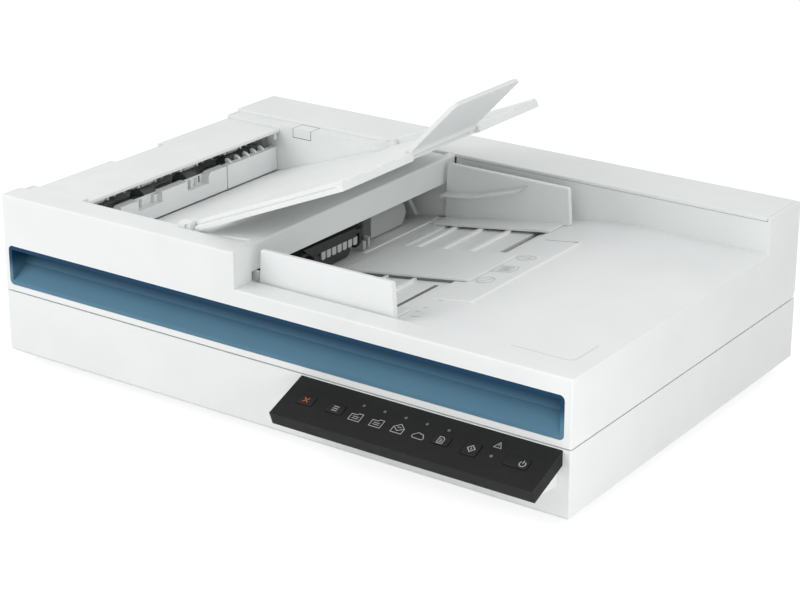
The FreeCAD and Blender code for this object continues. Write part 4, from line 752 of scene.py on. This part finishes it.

# %% [markdown]
# Under the cover a sheet leaves over a wall with three stout blocks. Between them the wall is set back into
# two windows with a sill, and a narrow joint parts the blocks from the plain wall on the right. The blocks
# and the sill are one comb shaped outline given a depth, so that their front faces stay flush as they do on
# one moulding. This wall stands in for the simpler CAD one, which is 2 mm lower. Dark strips of painted
# shade stand in for a real slot in the window and for a small one on its sill.

# %% The wall at the sheet exit
PIT_FRONT = 25.3
PIT_REAR = 240.7
WALL_FOOT = 77.5
SILL = 95.0
BLOCK_TOP = 103.0
BLOCK_LOW = 85.0
BLOCK_END = 181.4
PLAIN_START = 182.5
WALL_BACK = 40.0
WALL_FACE = 41.2


def across(x):
    """Where an outline drawn in Y and Z goes when it stands at x and is given a depth to the right."""
    def place(y, z, depth):
        return at(x + depth, y, z)
    return place


def rectangle(u0, u1, w0, w1):
    """The four corners of a rectangle."""
    return [(u0, w0), (u1, w0), (u1, w1), (u0, w1)]


def round_edges(piece, width_mm, segments=2):
    """A small radius on every edge of a drawn piece."""
    edge = piece.modifiers.new("rounded_edges", "BEVEL")
    edge.width = width_mm * MM
    edge.segments = segments
    edge.limit_method = "ANGLE"
    edge.angle_limit = SHARP
    return piece


comb = [(64.0, BLOCK_LOW), (BLOCK_END, BLOCK_LOW), (BLOCK_END, BLOCK_TOP)]
comb += arc(164.2, BLOCK_TOP - 3.4, 3.4, 90, 180, 6) + [(160.8, SILL), (137.4, SILL), (137.4, BLOCK_TOP)]
comb += [(109.5, BLOCK_TOP), (109.5, SILL), (84.5, SILL), (84.5, BLOCK_TOP)]
comb += [(66.6, BLOCK_TOP), (64.0, BLOCK_TOP - 5.0)]
wall = bmesh.new()
slab(wall, rectangle(PIT_FRONT, BLOCK_END, WALL_FOOT, BLOCK_TOP - 1.6), across(WALL_BACK), 0.0, 1.2)
slab(wall, comb, across(WALL_FACE), 0.0, 6.8)
slab(wall, rectangle(PLAIN_START, PIT_REAR, BLOCK_LOW, BLOCK_TOP), across(42.6), 0.0, 5.4)
slab(wall, rectangle(PLAIN_START, PIT_REAR, WALL_FOOT, BLOCK_LOW), across(WALL_BACK), 0.0, 2.6)
slab(wall, rectangle(PIT_FRONT, 64.0, WALL_FOOT, BLOCK_TOP - 4.0), across(WALL_FACE), 0.0, 2.6)
for y, wide in ((92.5, 1.2), (105.4, 4.1), (145.5, 1.2), (152.5, 1.2)):
    slab(wall, rectangle(y, y + wide, SILL, BLOCK_TOP - 2.4), across(WALL_FACE), 0.0, 2.6)
exit_wall = finished_piece("exit_wall", wall, "white_inner", "lid")
round_edges(exit_wall, 0.35)
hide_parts("stop_wall")

# Painted shade: dark strips where the window's slot is.
window_slot = bmesh.new()
slab(window_slot, rectangle(156.6, 158.0, SILL + 1.0, BLOCK_TOP - 2.4), across(WALL_FACE), -0.2, 0.3)
slab(window_slot, rectangle(139.0, 144.0, SILL - 0.2, SILL + 0.25), across(WALL_FACE), 0.6, 2.0)
finished_piece("exit_window_slot", window_slot, "shadow_gap", "lid")
print("exit wall", len(exit_wall.data.polygons), "faces")

# %% [markdown]
# Thin curved fins lift the sheet over the top of the wall. Each is a part of a disc. They stand in a row with
# gaps, so light and shade alternate along the slit.

# %% Curved fins behind the wall
FIN_PLACES = (33.0, 44.0, 52.5, 188.5, 199.0, 209.0, 218.0, 227.0)
FIN_THICK = 2.6
FIN_RADIUS = 7.2
FIN_MIDDLE = (40.2, 98.4)
FIN_FOOT = FIN_MIDDLE[1] - 2.0

fins = bmesh.new()
fin_outline = arc(*FIN_MIDDLE, FIN_RADIUS, 40, 90, 10) + [(FIN_MIDDLE[0], FIN_FOOT), (43.5, FIN_FOOT)]
for y in FIN_PLACES:
    slab(fins, fin_outline, lambda x, z, depth, y=y: at(x, y + depth, z), 0.0, FIN_THICK)
round_edges(finished_piece("exit_fins", fins, "white_inner", "lid"), 0.3)
print("fins", len(FIN_PLACES))

# %% [markdown]
# Seams tell how a housing was put together. A small square cover sits in the rear ledge and shows as a thin
# dark line, which is drawn here as a dark strip. A pale plate with two ridges closes the window that looks
# into the gear case behind the wall, where the CAD piece has an open hole.

# %% Seams of the ledge cover and the gear case window
LEDGE_TOP = 120.0
PIT_WALL_Y = 241.0
SEAM_WIDTH = 0.45
SEAM_HIGH = 0.03


def on_pit_wall(x, z, height):
    """Place on the upright wall behind the output pit; height comes out towards the front."""
    return at(x, PIT_WALL_Y - height, z)


def on_ledge(x, y, height):
    """Place on the level ledge at the top of the feeder."""
    return at(x, y, LEDGE_TOP + height)


seams = bmesh.new()
tab_front = [(63.6, LEDGE_TOP), (63.6, 113.1), (80.3, 113.1), (80.3, LEDGE_TOP)]
tab_top = [(63.6, PIT_WALL_Y), (63.6, 252.4), (80.3, 252.4), (80.3, PIT_WALL_Y)]
stroke(seams, tab_front, SEAM_WIDTH, on_pit_wall, -0.1, SEAM_HIGH)
stroke(seams, tab_top, SEAM_WIDTH, on_ledge, -0.1, SEAM_HIGH)
finished_piece("ledge_seams", seams, "shadow_gap", "lid")

case_window = bmesh.new()
slab(case_window, rectangle(12.2, 38.8, 100.6, 109.3), on_pit_wall, -2.4, -1.2)
slab(case_window, rectangle(13.0, 34.0, 102.0, 103.0), on_pit_wall, -1.3, -0.4)
slab(case_window, rectangle(13.0, 34.0, 105.6, 106.6), on_pit_wall, -1.3, -0.4)
finished_piece("gear_case_window", case_window, "white_inner", "lid")
print("seam width", SEAM_WIDTH, "mm")

# %% [markdown]
# Deep in the input mouth sits the pick roller under a black cover. Its front is a plate with slanted ends,
# and a comb of short pale fingers hangs below it. Both ride the arm that lifts the roller. A half round
# housing, a slanted wall and two small brackets fill the rear of the mouth, and a lip in a whiter white,
# a painted highlight, marks where the chute meets the deck.

# %% Inside the input mouth
MOUTH_X = 198.1
HOUSING_X = 176.0
BRACKET_X = 191.0
FINGERS = 7
FINGER_STEP = 6.0
FINISHES["pale_inner"] = moulded("pale_inner", (0.50, 0.51, 0.505), 0.5, grain_mm=0.4)

pick_front = bmesh.new()
slab(pick_front, [(77.3, 99.6), (135.0, 98.7), (136.1, 92.2), (86.2, 92.4)], across(MOUTH_X), 0.0, 1.1)
round_edges(finished_piece("pick_cover_front", pick_front, "black_inner", "arm"), 0.25)

fingers = bmesh.new()
for i in range(FINGERS):
    y = 97.0 + FINGER_STEP * i
    slab(fingers, [(y, 92.3), (y + 4.3, 92.3), (y + 4.3, 87.4), (y + 3.4, 86.6), (y + 0.9, 86.6), (y, 87.4)],
         across(MOUTH_X), 0.05, 0.8)
finished_piece("pick_fingers", fingers, "pale_inner", "arm")

drum = bmesh.new()
drum_outline = [(174.2, 76.2), (216.5, 76.2)] + arc(207.5, 85.2, 9.0, -60, 60, 8)
drum_outline += [(211.0, 99.0), (174.2, 99.0)]
slab(drum, drum_outline, across(HOUSING_X), 0.0, 8.0)
slab(drum, [(221.0, 99.0), (219.6, 92.0), (229.5, 78.0), (233.0, 78.0), (224.0, 92.0), (224.6, 99.0)],
     across(HOUSING_X), 0.0, 8.0)
round_edges(finished_piece("mouth_housing", drum, "pale_inner", "lid"), 0.8, 3)

brackets = bmesh.new()
slab(brackets, [(149.6, 77.6), (152.6, 77.6), (152.6, 82.6), (151.2, 84.0), (149.6, 84.0)],
     across(BRACKET_X), 0.0, 4.0)
slab(brackets, [(155.4, 77.6), (157.6, 77.6), (157.6, 85.5), (155.4, 84.6)], across(BRACKET_X), 0.0, 4.0)
finished_piece("mouth_brackets", brackets, "pale_inner", "lid")

lip = bmesh.new()
# The lip is a whiter white: a painted highlight.
slab(lip, rectangle(196.3, 199.3, 146.0, 239.0), on_ramp, -1.5, 0.6)
round_edges(finished_piece("deck_lip", lip, "bright_rim", "lid"), 0.2)
print("mouth pieces", made("mouth_", "pick_"))

# %% [markdown]
# The tray's right end is stepped: short sloping teeth run along it on both sides of the flap. The flap
# itself is a thin leaf with a thicker rim, so that it looks solid although it is light. Both are drawn at
# their resting slope; each rides its own body, so the teeth lift with the tray and the rim folds with the
# flap.

# %% The tray's teeth and the flap's rim
TRAY_TILT = math.radians(22.7)
TRAY_PIVOT = (148.5, 122.6)
FLAP_TILT = math.radians(46.5)
FLAP_AT = (131.0, 1.0)


def on_tray(u, y, lift=0.0):
    """Place on the raised tray: u along its slope from the pivot, and lifted off it."""
    return at(TRAY_PIVOT[0] + u * math.cos(TRAY_TILT) - lift * math.sin(TRAY_TILT), y,
              TRAY_PIVOT[1] + u * math.sin(TRAY_TILT) + lift * math.cos(TRAY_TILT))


def on_flap(u, y, lift=0.0):
    """Place on the flap: u along its slope from its hinge, and lifted off its face."""
    along, up = FLAP_AT
    x = TRAY_PIVOT[0] + along * math.cos(TRAY_TILT) - up * math.sin(TRAY_TILT)
    z = TRAY_PIVOT[1] + along * math.sin(TRAY_TILT) + up * math.cos(TRAY_TILT)
    return at(x + u * math.cos(FLAP_TILT) - lift * math.sin(FLAP_TILT), y,
              z + u * math.sin(FLAP_TILT) + lift * math.cos(FLAP_TILT))


teeth = bmesh.new()
for y0, y1 in ((30.5, 46.5), (63.0, 78.7), (92.5, 97.5), (179.0, 201.0), (217.0, 234.0)):
    slab(teeth, [(118.0, -2.6), (134.8, -2.6), (134.8, 1.4), (131.5, 1.4)],
         lambda u, lift, depth, y=y0: on_tray(u, y + depth, lift), 0.0, y1 - y0)
round_edges(finished_piece("tray_teeth", teeth, "white_housing", "tray"), 0.3)

RIM_INSET = 0.9
RIM_WIDTH = 1.7
flap_front, flap_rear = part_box("tray_flap")
FLAP_Y0 = (flap_front[1] - CORNER.y) / MM
FLAP_Y1 = (flap_rear[1] - CORNER.y) / MM
flap_rim = bmesh.new()
rim_line = [(7.0, FLAP_Y0 + RIM_INSET), (47.0, FLAP_Y0 + RIM_INSET), (51.6, FLAP_Y0 + 5.4),
            (51.6, FLAP_Y1 - 5.4), (47.0, FLAP_Y1 - RIM_INSET), (7.0, FLAP_Y1 - RIM_INSET)]
stroke(flap_rim, rim_line, RIM_WIDTH, on_flap, -1.05, 1.9)
round_edges(finished_piece("flap_rim", flap_rim, "white_housing", "flap"), 0.4)
print("flap from", round(FLAP_Y0, 1), "to", round(FLAP_Y1, 1))

# %% [markdown]
# The sheet deck slopes down to the mouth. Two sunk fields flank a raised smooth panel. Broad low ribs cross
# them, and they are what the sheets slide on. The rib tops catch the light, painted as a highlight in a
# whiter white. The ribs are wider than the CAD ones and cover them. Dark strips of painted shadow stand in
# for the shade along the panel's front edge, where it steps down to the field, and for the shade in a slot.

# %% Ribs and painted shade strips of the sheet deck
FIELD_DEPTH = 1.6
SHADE_LINE_Y = 106.1
RIB_PLACES = (225.0, 246.5, 269.6)
RIB_HALF = 1.8
ribs = bmesh.new()
for x in RIB_PLACES:
    for y0, y1 in ((52.0, 101.0), (166.0, 219.0)):
        slab(ribs, rectangle(x - RIB_HALF, x + RIB_HALF, y0, y1), on_ramp, -FIELD_DEPTH - 0.2, 0.15)
# The rib tops are a whiter white: a painted highlight.
round_edges(finished_piece("deck_ribs", ribs, "bright_rim", "lid"), 0.25)

shade_strips = bmesh.new()
# Painted shadow along the panel's front edge, and painted shade in a slot.
stroke(shade_strips, [(226.0, SHADE_LINE_Y), (308.0, SHADE_LINE_Y)], 0.6, on_ramp, -1.7, 0.05)
slab(shade_strips, rectangle(289.0, 292.0, 54.0, 99.0), on_ramp, -FIELD_DEPTH - 0.2, -FIELD_DEPTH + 0.15)
finished_piece("deck_joints", shade_strips, "shadow_gap", "lid")
print("deck ribs", 2 * len(RIB_PLACES))
